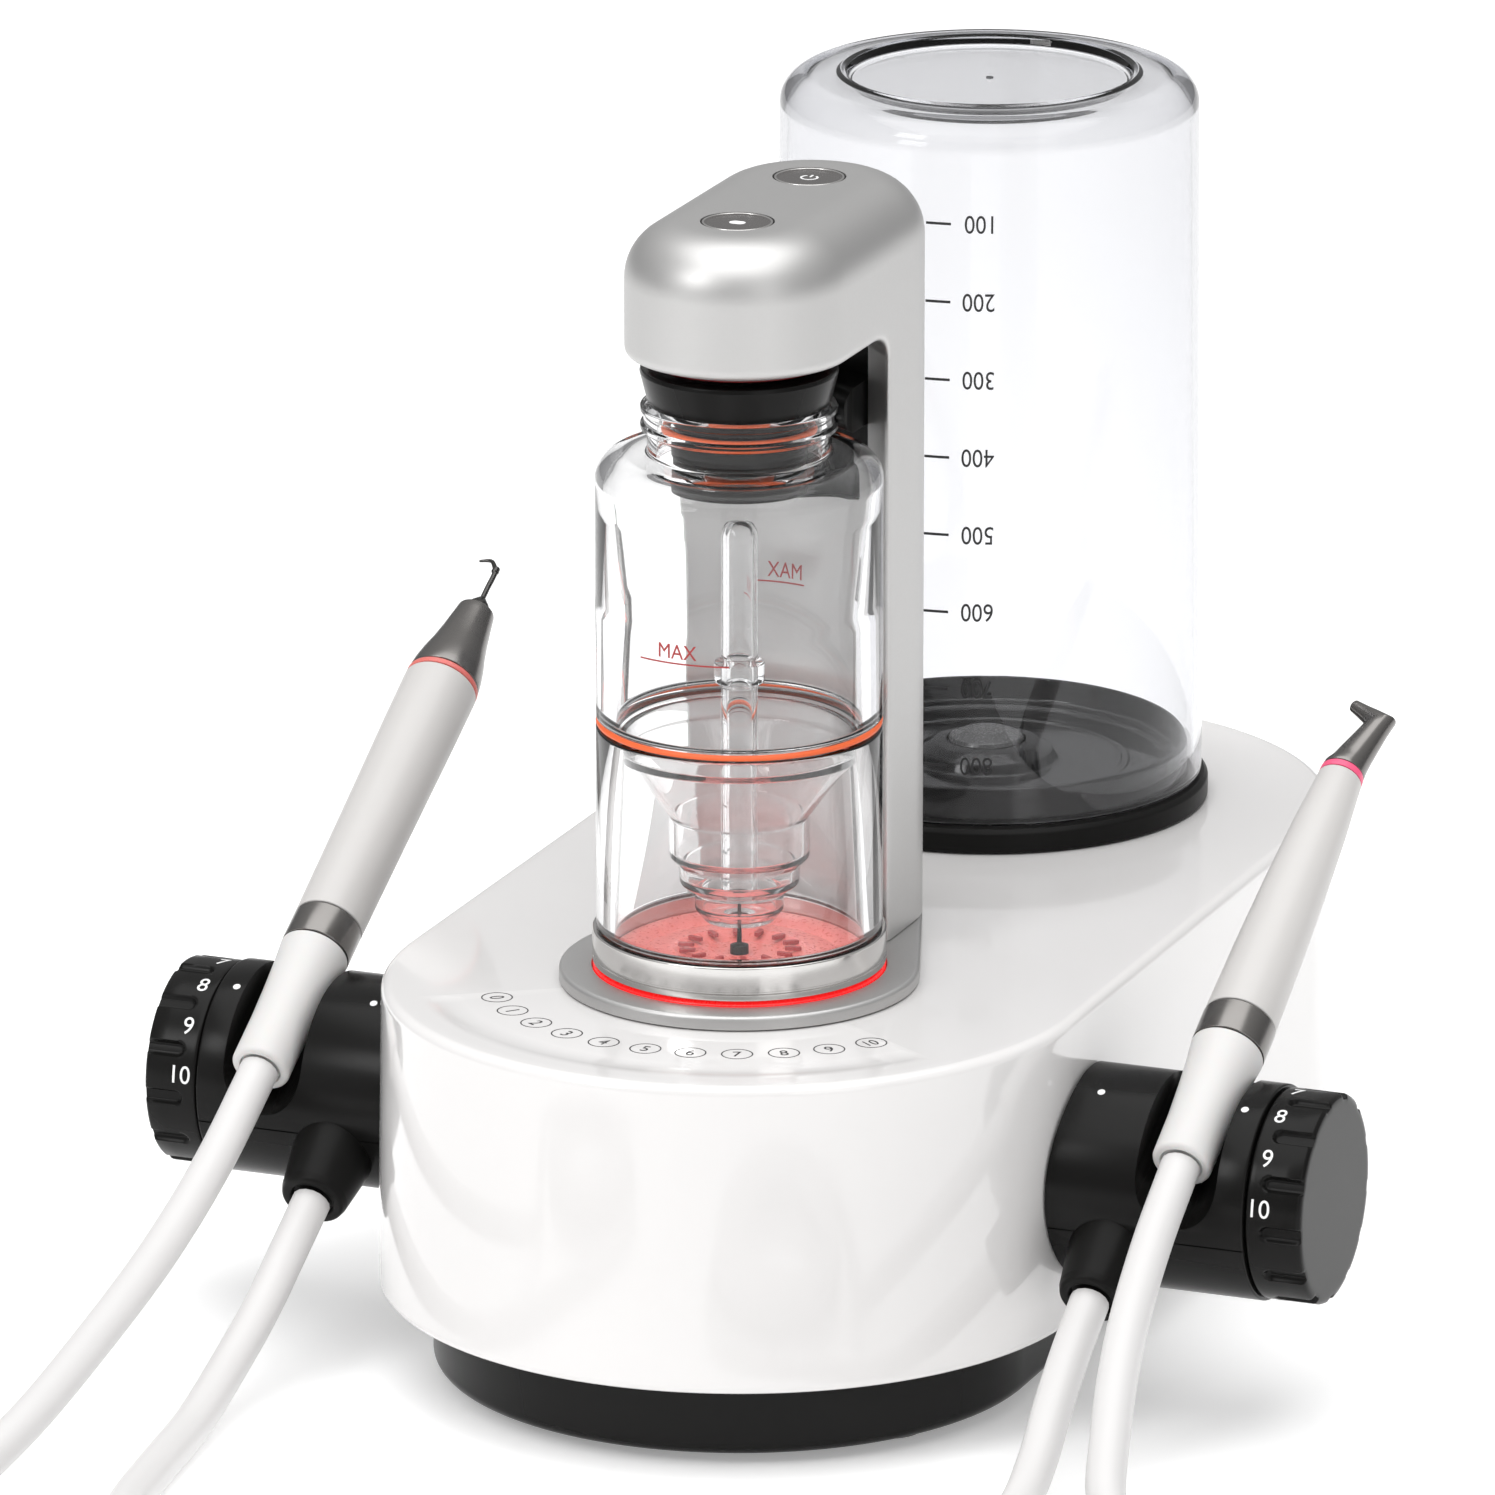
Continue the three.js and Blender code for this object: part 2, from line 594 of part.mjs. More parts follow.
// ---- finishes ----------------------------------------------------------------------------
function finish(color, roughness, metalness = 0, opacity = 1) {
  return new THREE.MeshStandardMaterial({
    color, roughness, metalness, opacity, transparent: opacity < 1,
  });
}

const FINISH = {
  shell: finish(0xf2f0ee, 0.12),
  black: finish(0x151413, 0.45),
  rubber: finish(0x1c1a19, 0.8),
  silver: finish(0xb9b8b4, 0.38, 0.9),
  steel: finish(0xb0aeaa, 0.25, 1),
  gunmetal: finish(0x77736f, 0.35, 0.9),
  clear: finish(0xe9edf2, 0.03, 0, 0.3),
  red: finish(0xd2403a, 0.35),
  orange: finish(0xe8612c, 0.4),
  glow: finish(0xe0242a, 0.3),
  white: finish(0xeeecea, 0.4),
  button: finish(0x55534f, 0.3),
  pink: finish(0xe85f8a, 0.4),
  valve: finish(0x6d6c6a, 0.4),
  board: finish(0x1f5a3a, 0.6),
  cord: finish(0xe9e7e4, 0.5),
};

const unit = new THREE.Group();

function add(name, geometry, surface, group = unit) {
  const mesh = new THREE.Mesh(geometry, FINISH[surface]);
  mesh.name = name;
  group.add(mesh);
}

const FEET = {
  foot_front_left: [-42, -97], foot_front_right: [42, -97],
  foot_rear_left: [-42, 97], foot_rear_right: [42, 97],
};

add('base_pan', makeBasePan(Object.values(FEET)), 'black');
Object.entries(FEET).forEach(([name, spot]) => add(name, makeFoot(spot), 'rubber'));
add('body_shell', makeBodyShell(), 'shell');
add('chassis_plate', makeChassis(), 'steel');
add('rear_panel', makeRearPanel(), 'black');
add('power_inlet', makePowerInlet(), 'black');
add('air_inlet', makeAirInlet(), 'steel');
add('power_supply', block([-38, 54, 24.6], [38, 116, 54.6]), 'steel');
add('main_board', makeMainBoard(), 'board');
add('valve_block', block([-52, -104, 24.6], [-12, -72, 52]), 'steel');
add('water_pump', makePump(), 'black');

add('arm_plate', makeArmPlate(), 'silver');
add('arm_shell', makeArmShell(), 'silver');
add('arm_recess_panel', makeRecessPanel(), 'black');
add('head_light_ring', makeHeadLight(), 'glow');
Object.entries(BUTTON_SPOTS).forEach(([name, y]) => add(name, makeButton(y), 'button'));

add('chamber_light_ring', ring(26.9, 30.3, 86.3, 88.2).translate(0, POWDER_Y, 0), 'glow');
add('chamber_port', makeChamberPort(), 'steel');
add('chamber_base_ring', makeChamberBase(), 'steel');
add('chamber_floor', makeChamberFloor(), 'red');
add('lower_chamber', makeLowerChamber(), 'clear');
add('powder_funnel', makeFunnel(), 'clear');
add('riser_tube', makeRiser(), 'clear');
add('chamber_seal', makeRingSeal(CHAMBER_R - 0.9, CHAMBER_SEAM, 0.85), 'orange');
add('upper_chamber', makeUpperChamber(), 'clear');
add('neck_seal', makeRingSeal(15.1, 202.8, 0.9), 'orange');
add('powder_cap', makePowderCap(), 'black');
add('cap_plug', makeCapPlug(), 'rubber');

add('water_bottle', makeBottle(), 'clear');
add('bottle_cap', makeBottleCap(), 'black');
add('bottle_valve', makeBottleValve(), 'valve');
add('bottle_seat', makeBottleSeat(), 'rubber');

[['left', -1], ['right', 1]].forEach(([word, side]) => {
  add(`holder_${word}`, makeHolder(side), 'black');
  add(`knob_${word}`, makeKnob(side), 'black');
  add(`gland_${word}`, makeGland(side), 'rubber');
  add(`gland_cord_${word}`, makeCord(`${word}_gland`), 'cord');
  add(`cord_coil_${word}`, makeCoil(COILS[word]), 'cord');
  add(`handpiece_cord_${word}`, makeCord(`${word}_handpiece`), 'cord');
});

const SURFACES = {
  boot: 'white', ring: 'gunmetal', sleeve: 'white', accent: 'red', nose: 'gunmetal', tip: 'steel',
  transducer: 'steel', nozzle: 'gunmetal',
};

function addHandpiece(word, side, slip, pieces) {
  const group = new THREE.Group();
  group.applyMatrix4(restFrame(side, slip));
  Object.entries(pieces).forEach(([piece, geometry]) => {
    const surface = word === 'polisher' && piece === 'accent' ? 'pink' : SURFACES[piece];
    add(`${word}_${piece}`, geometry, surface, group);
  });
  unit.add(group);
}

addHandpiece('scaler', -1, LEFT_SLIP, scalerPieces());
addHandpiece('polisher', 1, RIGHT_SLIP, polisherPieces());

export default unit;
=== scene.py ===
import json
from functools import lru_cache
from math import asin, atan2, copysign, cos, hypot, pi, radians, sin, sqrt, tan

import bmesh
import bpy
from mathutils import Matrix, Vector

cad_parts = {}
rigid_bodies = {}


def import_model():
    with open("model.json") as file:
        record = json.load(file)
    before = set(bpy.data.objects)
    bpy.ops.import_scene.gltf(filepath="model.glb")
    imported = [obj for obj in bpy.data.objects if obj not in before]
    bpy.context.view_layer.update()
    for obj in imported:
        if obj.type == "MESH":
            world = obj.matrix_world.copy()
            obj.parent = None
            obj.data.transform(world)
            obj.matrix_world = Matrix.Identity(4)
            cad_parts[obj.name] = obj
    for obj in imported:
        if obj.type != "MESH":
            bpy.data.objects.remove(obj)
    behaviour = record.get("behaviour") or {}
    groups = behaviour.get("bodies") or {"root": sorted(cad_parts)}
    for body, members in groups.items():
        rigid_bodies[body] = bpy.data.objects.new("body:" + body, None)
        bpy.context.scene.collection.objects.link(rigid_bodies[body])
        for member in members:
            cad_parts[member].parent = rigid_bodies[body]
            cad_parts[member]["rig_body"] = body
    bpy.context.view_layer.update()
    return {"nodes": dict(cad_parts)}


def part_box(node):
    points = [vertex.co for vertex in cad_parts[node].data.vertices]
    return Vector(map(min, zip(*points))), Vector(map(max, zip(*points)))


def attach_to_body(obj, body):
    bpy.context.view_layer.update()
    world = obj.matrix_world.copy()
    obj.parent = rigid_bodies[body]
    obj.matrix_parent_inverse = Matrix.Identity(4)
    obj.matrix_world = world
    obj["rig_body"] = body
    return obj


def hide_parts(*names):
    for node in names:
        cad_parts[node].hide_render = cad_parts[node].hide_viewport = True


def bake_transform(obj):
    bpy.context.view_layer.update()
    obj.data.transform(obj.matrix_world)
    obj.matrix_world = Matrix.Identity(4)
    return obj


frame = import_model()

# A table-top dental unit: an ultrasonic scaler and an air polisher on one base, with a powder
# chamber under an arm and an inverted water bottle. Shapes are written in millimetres and scaled
# to metres when their mesh is made. -Y is the front and +Z is up.
MM = 0.001
TURN = 2 * pi


def low(node):
    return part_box(node)[0] / MM


def high(node):
    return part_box(node)[1] / MM


def middle(node):
    return (low(node) + high(node)) / 2


# ---- places taken from the frame ----
POWDER = Vector((0, middle("upper_chamber").y, 0))
WATER = Vector((0, middle("water_bottle").y, 0))
AXIS_SPAN = WATER.y - POWDER.y
BODY_LOW = low("body_shell").z
BODY_TOP = high("body_shell").z
BODY_FOOT_R = high("body_shell").x
BODY_CROWN_R = BODY_FOOT_R - 1
BODY_EDGE = 4.5
PAN_LOW = low("base_pan").z
PAN_R = high("base_pan").x
PLATE_LOW = low("arm_plate").z
PLATE_TOP = high("arm_plate").z
PLATE_R = high("arm_plate").x
ARM_R = high("arm_shell").x
HEAD_TOP = high("arm_shell").z
ARM_SPAN = high("arm_shell").y - low("arm_shell").y - 2 * ARM_R
ARM_Y = POWDER.y + ARM_SPAN / 2
HEAD_LOW = 218.0
HEAD_EDGE = 12.0
ARM_WALL = 2.5
BAY_R = 33.5
BAY_CORNER = 5.0
BAY_ROUNDING = 2.2
BAY_FAN = 28
STRIPS = 36
CHAMBER_R = high("upper_chamber").x
CHAMBER_WALL = 4.5
CHAMBER_SEAM = middle("chamber_seal").z
NECK_TOP = high("upper_chamber").z
CAP_TOP = high("powder_cap").z
BOTTLE_TOP = high("water_bottle").z
BOTTLE_LOW = low("water_bottle").z
BOTTLE_FOOT_R = high("water_bottle").x
BOTTLE_HEAD_R = BOTTLE_FOOT_R - 1.9
BOTTLE_WALL = 1.9
HOLDER_Y = middle("knob_right").y
HOLDER_Z = middle("knob_right").z
HOLDER_R = 22.4
HOLDER_SEAM = high("holder_right").x
KNOB_END = high("knob_right").x
TROUGH_X = 101.5
TROUGH_R = 8.8
REST_HEIGHT = 17.35
TILT = radians(30)
SLIPS = {"scaler": -15.8, "polisher": -10.8}
GLAND_X = 86.5
FLUTES = 13

# ---- camera and stage ----
CAMERA_AT = Vector((1.0003, -2.5837, 0.94004))
CAMERA_TO = Vector((-0.0007, -0.0657, 0.13225))
CAMERA_LENS = 330.3
HORIZON = (0.24, 0.24, 0.245)
OVERHEAD = (0.62, 0.62, 0.62)
FLOOR_REACH = 6000
FLOOR_Z = -0.3


def new_object(name, data):
    made = bpy.data.objects.new(name, data)
    bpy.context.scene.collection.objects.link(made)
    return made


def aim(thing, place, target):
    """Puts a camera or a lamp at a place, turned to face the target."""
    thing.location = place
    thing.rotation_mode = "QUATERNION"
    thing.rotation_quaternion = (Vector(target) - Vector(place)).to_track_quat("-Z", "Y")


def add_camera():
    camera = new_object("camera", bpy.data.cameras.new("camera"))
    camera.data.lens = CAMERA_LENS
    camera.data.sensor_width = 36
    camera.data.clip_end = 100
    aim(camera, CAMERA_AT, CAMERA_TO)
    bpy.context.scene.camera = camera


def add_light(name, place, target, size, watts):
    light = bpy.data.lights.new(name, "AREA")
    light.shape = "RECTANGLE"
    light.size, light.size_y = size
    light.energy = watts
    aim(new_object(name, light), place, target)


def add_world():
    """A studio that is bright overhead and darker round the horizon."""
    world = bpy.data.worlds.new("studio")
    world.use_nodes = True
    bpy.context.scene.world = world
    tree = world.node_tree
    place, split, ramp = (add_node(tree, kind) for kind in ("TexCoord", "SeparateXYZ", "ValToRGB"))
    tree.links.new(place.outputs["Generated"], split.inputs[0])
    tree.links.new(split.outputs["Z"], ramp.inputs[0])
    tree.links.new(ramp.outputs[0], tree.nodes["Background"].inputs["Color"])
    for element, position, grey in zip(ramp.color_ramp.elements, (0, 0.7), (HORIZON, OVERHEAD)):
        element.position = position
        element.color = (*grey, 1)


def add_floor():
    square = [(-1, -1), (1, -1), (1, 1), (-1, 1)]
    points = [(x * FLOOR_REACH, y * FLOOR_REACH, FLOOR_Z) for x, y in square]
    floor = solid("floor", (points, [(0, 1, 2, 3)]))
    floor.data.materials.append(finish_material("stage"))


def add_stage():
    bpy.context.scene.view_settings.view_transform = "Standard"
    bpy.context.scene.cycles.max_bounces = 24
    bpy.context.scene.cycles.transmission_bounces = 24
    bpy.context.scene.cycles.sample_clamp_indirect = 6
    add_camera()
    add_world()
    add_light("softbox_top", (0.1, -0.3, 2.0), (0, 0, 0), (2.4, 2.4), 37)
    add_light("softbox_front", (-0.75, -1.5, 1.15), (0, -0.05, 0.12), (0.55, 0.55), 7)
    add_light("softbox_low", (-0.9, -1.3, 0.4), (0, -0.05, 0.16), (0.9, 0.6), 0.7)
    add_light("softbox_right", (1.35, -1.2, 0.7), (0, 0, 0.12), (0.8, 0.9), 2.4)


# ---- forms: (points, faces) in millimetres ----
def soften(outline, steps=6, closed=False):
    """Rounds each outline corner that carries a third number, its radius."""
    made = []
    count = len(outline)
    for i, point in enumerate(outline):
        corner = Vector(point[:2])
        inner = closed or 0 < i < count - 1
        if len(point) < 3 or not inner:
            made.append((corner.x, corner.y))
            continue
        back = Vector(outline[i - 1][:2]) - corner
        ahead = Vector(outline[(i + 1) % count][:2]) - corner
        half = back.angle(ahead) / 2
        reach = min(point[2] / tan(half), 0.49 * back.length, 0.49 * ahead.length)
        radius = reach * tan(half)
        bisector = (back.normalized() + ahead.normalized()).normalized()
        centre = corner + bisector * radius / sin(half)
        first = corner + back.normalized() * reach - centre
        final = corner + ahead.normalized() * reach - centre
        start = atan2(first.y, first.x)
        swing = (atan2(final.y, final.x) - start + pi) % TURN - pi
        for k in range(steps + 1):
            angle = start + swing * k / steps
            made.append((centre.x + radius * cos(angle), centre.y + radius * sin(angle)))
    return made


def loft(rows, looped=False):
    """Quads between closed rows of points, and from the last row to the first if looped."""
    width = len(rows[0])
    points = [p for row in rows for p in row]
    faces = []
    for i in range(len(rows) if looped else len(rows) - 1):
        j = (i + 1) % len(rows)
        for k in range(width):
            m = (k + 1) % width
            faces.append((i * width + k, i * width + m, j * width + m, j * width + k))
    return points, faces


def capped(rows):
    """A loft with both of its ends closed."""
    points, faces = loft(rows)
    width = len(rows[0])
    faces.append(tuple(reversed(range(width))))
    faces.append(tuple(range(len(points) - width, len(points))))
    return points, faces


def round_plan(segments=96):
    angles = [TURN * i / segments for i in range(segments)]
    return [(0, 0, 0, cos(a), sin(a)) for a in angles]


def stadium_plan(span, segments=128):
    """Two half rounds pulled apart along Y."""
    angles = [TURN * (i + 0.5) / segments for i in range(segments)]
    return [(0, copysign(span / 2, sin(a)), 0, cos(a), sin(a)) for a in angles]


def teardrop_plan(span, shrink, segments=64):
    """A large round at the origin and one smaller by `shrink` at Y = span, joined by tangents."""
    lean = asin(shrink / span)
    plan = []
    for i in range(segments + 1):
        a = lean + (pi - 2 * lean) * i / segments
        plan.append((0, span, -shrink, cos(a), sin(a)))
    for i in range(segments + 1):
        a = pi - lean + (pi + 2 * lean) * i / segments
        plan.append((0, 0, 0, cos(a), sin(a)))
    return plan


def spin(profile, plan=None, closed=False, steps=6):
    """A profile of (radius, height) or (radius, height, rounding) taken round a plan."""
    plan = plan or round_plan()
    outline = soften(profile, steps, closed)
    rows = [
        [(x + (r + dr) * ux, y + (r + dr) * uy, z) for x, y, dr, ux, uy in plan]
        for r, z in outline
    ]
    return loft(rows, closed)


def slab(outline, low_z, high_z, edge=0.0, steps=3):
    """A flat plate of a convex closed outline about the origin, its rims rounded by `edge`."""
    rows = []
    reach = max(Vector(p).length for p in outline)

    def row(inset, z):
        return [(x * (1 - inset / reach), y * (1 - inset / reach), z) for x, y in outline]

    turns = [pi / 2 * k / steps for k in range(steps + 1)] if edge else [0]
    rows += [row(edge * (1 - sin(t)), low_z + edge * (1 - cos(t))) for t in turns]
    rows += [row(edge * (1 - cos(t)), high_z - edge * (1 - sin(t))) for t in turns]
    return capped(rows)


def rounded_box(size, radius, steps=5):
    """A closed outline, `size` wide and deep, about the origin, with round corners."""
    w, h = size[0] / 2, size[1] / 2
    corners = [(w, -h, radius), (w, h, radius), (-w, h, radius), (-w, -h, radius)]
    return soften(corners, steps, closed=True)


def about(axis, angle):
    return Matrix.Rotation(angle, 4, axis)


def moved(form, *place):
    """The form moved by a vector, or by each matrix in turn."""
    points, faces = form
    matrix = Matrix.Identity(4)
    for step in place:
        matrix = (step if isinstance(step, Matrix) else Matrix.Translation(step)) @ matrix
    return [tuple(matrix @ Vector(p)) for p in points], faces


def bent(form, place):
    """Every point sent through the function `place`."""
    points, faces = form
    return [tuple(place(*p)) for p in points], faces


def mix(p, q, at_p, at_q, t):
    """The point at t on the straight line that passes p at at_p and q at at_q."""
    return p * ((at_q - t) / (at_q - at_p)) + q * ((t - at_p) / (at_q - at_p))


def smooth_line(points, step=2.5):
    """A centripetal Catmull-Rom line through the points, with a point about every step."""
    knots = [Vector(p) for p in points]
    knots = [2 * knots[0] - knots[1]] + knots + [2 * knots[-1] - knots[-2]]
    line = []
    for p0, p1, p2, p3 in zip(knots, knots[1:], knots[2:], knots[3:]):
        t1 = (p1 - p0).length ** 0.5
        t2 = t1 + (p2 - p1).length ** 0.5
        t3 = t2 + (p3 - p2).length ** 0.5
        count = max(1, round((p2 - p1).length / step))
        for k in range(count):
            t = t1 + (t2 - t1) * k / count
            a1 = mix(p0, p1, 0, t1, t)
            a2 = mix(p1, p2, t1, t2, t)
            a3 = mix(p2, p3, t2, t3, t)
            b1 = mix(a1, a2, 0, t2, t)
            b2 = mix(a2, a3, t1, t3, t)
            line.append(mix(b1, b2, t1, t2, t))
    return line + [knots[-2]]


def sweep(line, radius, sides=16):
    """A tube round a line. `radius` is a number, or a function of the share of the way along."""
    size = radius if callable(radius) else lambda share: radius
    ahead = (line[1] - line[0]).normalized()
    across = ahead.orthogonal().normalized()
    rows = []
    for i, point in enumerate(line):
        before, after = line[max(i - 1, 0)], line[min(i + 1, len(line) - 1)]
        turned = (after - before).normalized()
        across = ahead.rotation_difference(turned) @ across
        ahead = turned
        other = ahead.cross(across)
        r = size(i / (len(line) - 1))
        turns = [TURN * k / sides for k in range(sides)]
        rows.append([tuple(point + across * r * cos(a) + other * r * sin(a)) for a in turns])
    return capped(rows)


def cross_cut(mesh, pitch):
    """The mesh's points and faces after cuts a pitch apart in X and Y, so that it can bend."""
    work = bmesh.new()
    work.from_mesh(mesh)
    bmesh.ops.remove_doubles(work, verts=work.verts, dist=1e-5)
    for axis in (Vector((1, 0, 0)), Vector((0, 1, 0))):
        reach = max((v.co.dot(axis) for v in work.verts), default=0)
        at = min((v.co.dot(axis) for v in work.verts), default=0) + pitch
        while at < reach:
            geometry = work.verts[:] + work.edges[:] + work.faces[:]
            bmesh.ops.bisect_plane(work, geom=geometry, dist=1e-5, plane_co=axis * at, plane_no=axis)
            at += pitch
    work.verts.index_update()
    points = [tuple(v.co) for v in work.verts]
    faces = [tuple(v.index for v in face.verts) for face in work.faces]
    work.free()
    return points, faces


def baked_mesh(thing):
    """A mesh of the thing as it is seen, with its modifiers applied."""
    seen = thing.evaluated_get(bpy.context.evaluated_depsgraph_get())
    return bpy.data.meshes.new_from_object(seen)


@lru_cache(maxsize=None)
def letter_form(text):
    """Flat text as (points, faces), one unit to a digit's height, centred."""
    made = []
    for body in ("8", text):
        curve = bpy.data.curves.new("letters", "FONT")
        curve.body = body
        curve.resolution_u = 5
        holder = new_object("letters", curve)
        mesh = baked_mesh(holder)
        made.append(cross_cut(mesh, 0.12))
        bpy.data.objects.remove(holder)
        bpy.data.meshes.remove(mesh)
        bpy.data.curves.remove(curve)
    tall = max(p[1] for p in made[0][0]) - min(p[1] for p in made[0][0])
    base = min(p[1] for p in made[0][0])
    points, faces = made[1]
    left = min(p[0] for p in points)
    right = max(p[0] for p in points)
    centred = [((x - (left + right) / 2) / tall, (y - base) / tall - 0.5) for x, y, _ in points]
    return centred, faces


def lettering(text, height, thick=0.06, stretch=1.0):
    """Raised text in XY, its top at z = thick and its foot a little below z = 0."""
    flat, faces = letter_form(text)
    return raised(([(x * height * stretch, y * height) for x, y in flat], faces), thick)


def raised(flat, thick):
    """A flat form of (x, y) points as a thin solid."""
    points, faces = flat
    count = len(points)
    edges = {}
    for face in faces:
        for a, b in zip(face, face[1:] + face[:1]):
            edges[(a, b)] = True
    rim = [(a, b) for a, b in edges if (b, a) not in edges]
    walls = [(a, a + count, b + count, b) for a, b in rim]
    top = [tuple(k + count for k in face) for face in faces]
    bottom = [tuple(reversed(face)) for face in faces]
    solid_points = [(x, y, -thick / 2) for x, y in points] + [(x, y, thick) for x, y in points]
    return solid_points, top + bottom + walls


def bar(width, height, thick=0.06, pieces=8):
    """A flat printed line, cut across so that it can be bent round a surface."""
    points = []
    for i in range(pieces + 1):
        x = width * (i / pieces - 0.5)
        points += [(x, -height / 2), (x, height / 2)]
    faces = [(2 * i, 2 * i + 2, 2 * i + 3, 2 * i + 1) for i in range(pieces)]
    return raised((points, faces), thick)


def hoop(radius, width, thick=0.06, segments=48):
    half = width / 2
    section = [
        (radius - half, -thick / 2), (radius + half, -thick / 2), (radius + half, thick),
        (radius - half, thick),
    ]
    return spin(section, round_plan(segments), closed=True)


def disc(radius, thick=0.06, segments=32):
    return spin(post(radius, -thick / 2, thick), round_plan(segments))


def post(radius, start, end):
    """The profile of a plain solid round."""
    return [(0, start), (radius, start), (radius, end), (0, end)]


def bead(radius, z, half_width, half_height):
    """The closed profile of a ring seal."""
    turns = [t * TURN / 16 for t in range(16)]
    return [(radius + half_width * cos(t), z + half_height * sin(t)) for t in turns]


# ---- objects ----
def solid(name, *forms, place=None):
    """A mesh object of the forms, welded, with faces outward; `place` is its matrix in mm."""
    work = bmesh.new()
    for points, faces in forms:
        made = [work.verts.new(Vector(p) * MM) for p in points]
        for face in faces:
            work.faces.new([made[k] for k in face])
    bmesh.ops.remove_doubles(work, verts=work.verts, dist=1e-6)
    bmesh.ops.recalc_face_normals(work, faces=work.faces)
    mesh = bpy.data.meshes.new(name)
    work.to_mesh(mesh)
    work.free()
    piece = new_object(name, mesh)
    if place is not None:
        metres = place.copy()
        metres.translation *= MM
        piece.matrix_world = metres
    return piece


def drum(segments, radius, start, end, *place):
    """A round cutter along local Z."""
    return solid("tool", moved(spin(post(radius, start, end), round_plan(segments)), *place))


def block(size, corner, start, end, *place):
    """A cutter with round corners along local Z."""
    return solid("tool", moved(slab(rounded_box(size, corner), start, end), *place))


def freeze(piece):
    """Applies the piece's modifiers."""
    bpy.context.view_layer.update()
    mesh = baked_mesh(piece)
    piece.modifiers.clear()
    piece.data = mesh
    return piece


def combine(piece, operation, *tools):
    bpy.context.view_layer.update()
    for tool in tools:
        step = piece.modifiers.new("step", "BOOLEAN")
        step.operation = operation
        step.solver = "EXACT"
        step.object = tool
    freeze(piece)
    for tool in tools:
        bpy.data.objects.remove(tool)
    return piece


def carve(piece, *tools):
    return combine(piece, "DIFFERENCE", *tools)


def fuse(piece, *tools):
    return combine(piece, "UNION", *tools)


def ease_edges(piece, width, angle=30, segments=3):
    """Rounds the edges sharper than the angle."""
    step = piece.modifiers.new("ease", "BEVEL")
    step.width = width * MM
    step.segments = segments
    step.limit_method = "ANGLE"
    step.angle_limit = radians(angle)
    return freeze(piece)


def paint(piece, finish, crease):
    piece.data.materials.clear()
    piece.data.materials.append(finish_material(finish))
    piece.data.polygons.foreach_set("use_smooth", [True] * len(piece.data.polygons))
    piece.data.set_sharp_from_angle(angle=radians(crease))


def attach(piece, finish, node, crease=35, own=False):
    """Paints the piece and rides it on the body of a CAD node, which it replaces if it is `own`."""
    paint(piece, finish, crease)
    if finish in CLEAR_FINISHES:
        piece.visible_shadow = False
    if own:
        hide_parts(node)
    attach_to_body(piece, frame["nodes"][node]["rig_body"])


def dress(piece, finish, node, crease=35):
    """Attaches the piece that stands for a CAD node."""
    attach(piece, finish, node, crease, own=True)


def upright(name, place, profile, finish, node, segments, crease=35, slot=None, own=True, **shape):
    """A round piece on the vertical axis at `place`."""
    piece = solid(name, moved(spin(profile, round_plan(segments), **shape), place))
    attach(piece, finish, node, crease, own)


def repaint(node, finish):
    """A CAD node that keeps its own shape gets a finish."""
    paint(frame["nodes"][node], finish, 35)


# ---- finishes ----
def add_node(tree, kind, **values):
    return set_sockets(tree.nodes.new("ShaderNode" + kind), **values)


def set_sockets(node, **values):
    """Sets sockets by name, with an underscore for each space."""
    for socket, value in values.items():
        node.inputs[socket.replace("_", " ")].default_value = value
    return node


def noise(tree, scale, detail):
    """Noise in the piece's own metres, `scale` features to the metre."""
    place = add_node(tree, "TexCoord")
    field = add_node(tree, "TexNoise", Scale=scale, Detail=detail)
    tree.links.new(place.outputs["Object"], field.inputs["Vector"])
    return field.outputs["Fac"]


def surface(name, colour, roughness, metallic=0.0, tint=0.04, spread=0.05, cloud=25.0,
            grain=1500.0, relief=0.01, **sockets):
    """Principled shading whose colour and gloss drift with a broad noise and whose height
    follows a fine grain, `relief` millimetres deep."""
    material = bpy.data.materials.new(name)
    material.use_nodes = True
    tree = material.node_tree
    link = tree.links.new
    shader = set_sockets(tree.nodes["Principled BSDF"], Metallic=metallic, **sockets)
    broad = noise(tree, cloud, 3.0)
    fine = noise(tree, grain, 2.0)

    blend = add_node(tree, "Mix")
    blend.data_type = "RGBA"
    set_sockets(blend, A=(*[c * (1 - tint) for c in colour], 1),
                B=(*[min(1, c * (1 + tint)) for c in colour], 1))
    link(broad, blend.inputs["Factor"])
    link(blend.outputs["Result"], shader.inputs["Base Color"])

    gloss = add_node(tree, "MapRange", From_Min=0.3, From_Max=0.7,
                     To_Min=max(0.0, roughness - spread), To_Max=roughness + spread)
    link(fine, gloss.inputs["Value"])
    link(gloss.outputs["Result"], shader.inputs["Roughness"])

    bump = add_node(tree, "Bump", Strength=1.0, Distance=relief * MM)
    link(fine, bump.inputs["Height"])
    link(bump.outputs["Normal"], shader.inputs["Normal"])
    return material


def absorb(material, colour, density):
    """Darkens what is seen through the material by how much of it the light crosses, per metre."""
    tree = material.node_tree
    depth = add_node(tree, "VolumeAbsorption", Color=(*colour, 1), Density=density)
    tree.links.new(depth.outputs["Volume"], tree.nodes["Material Output"].inputs["Volume"])


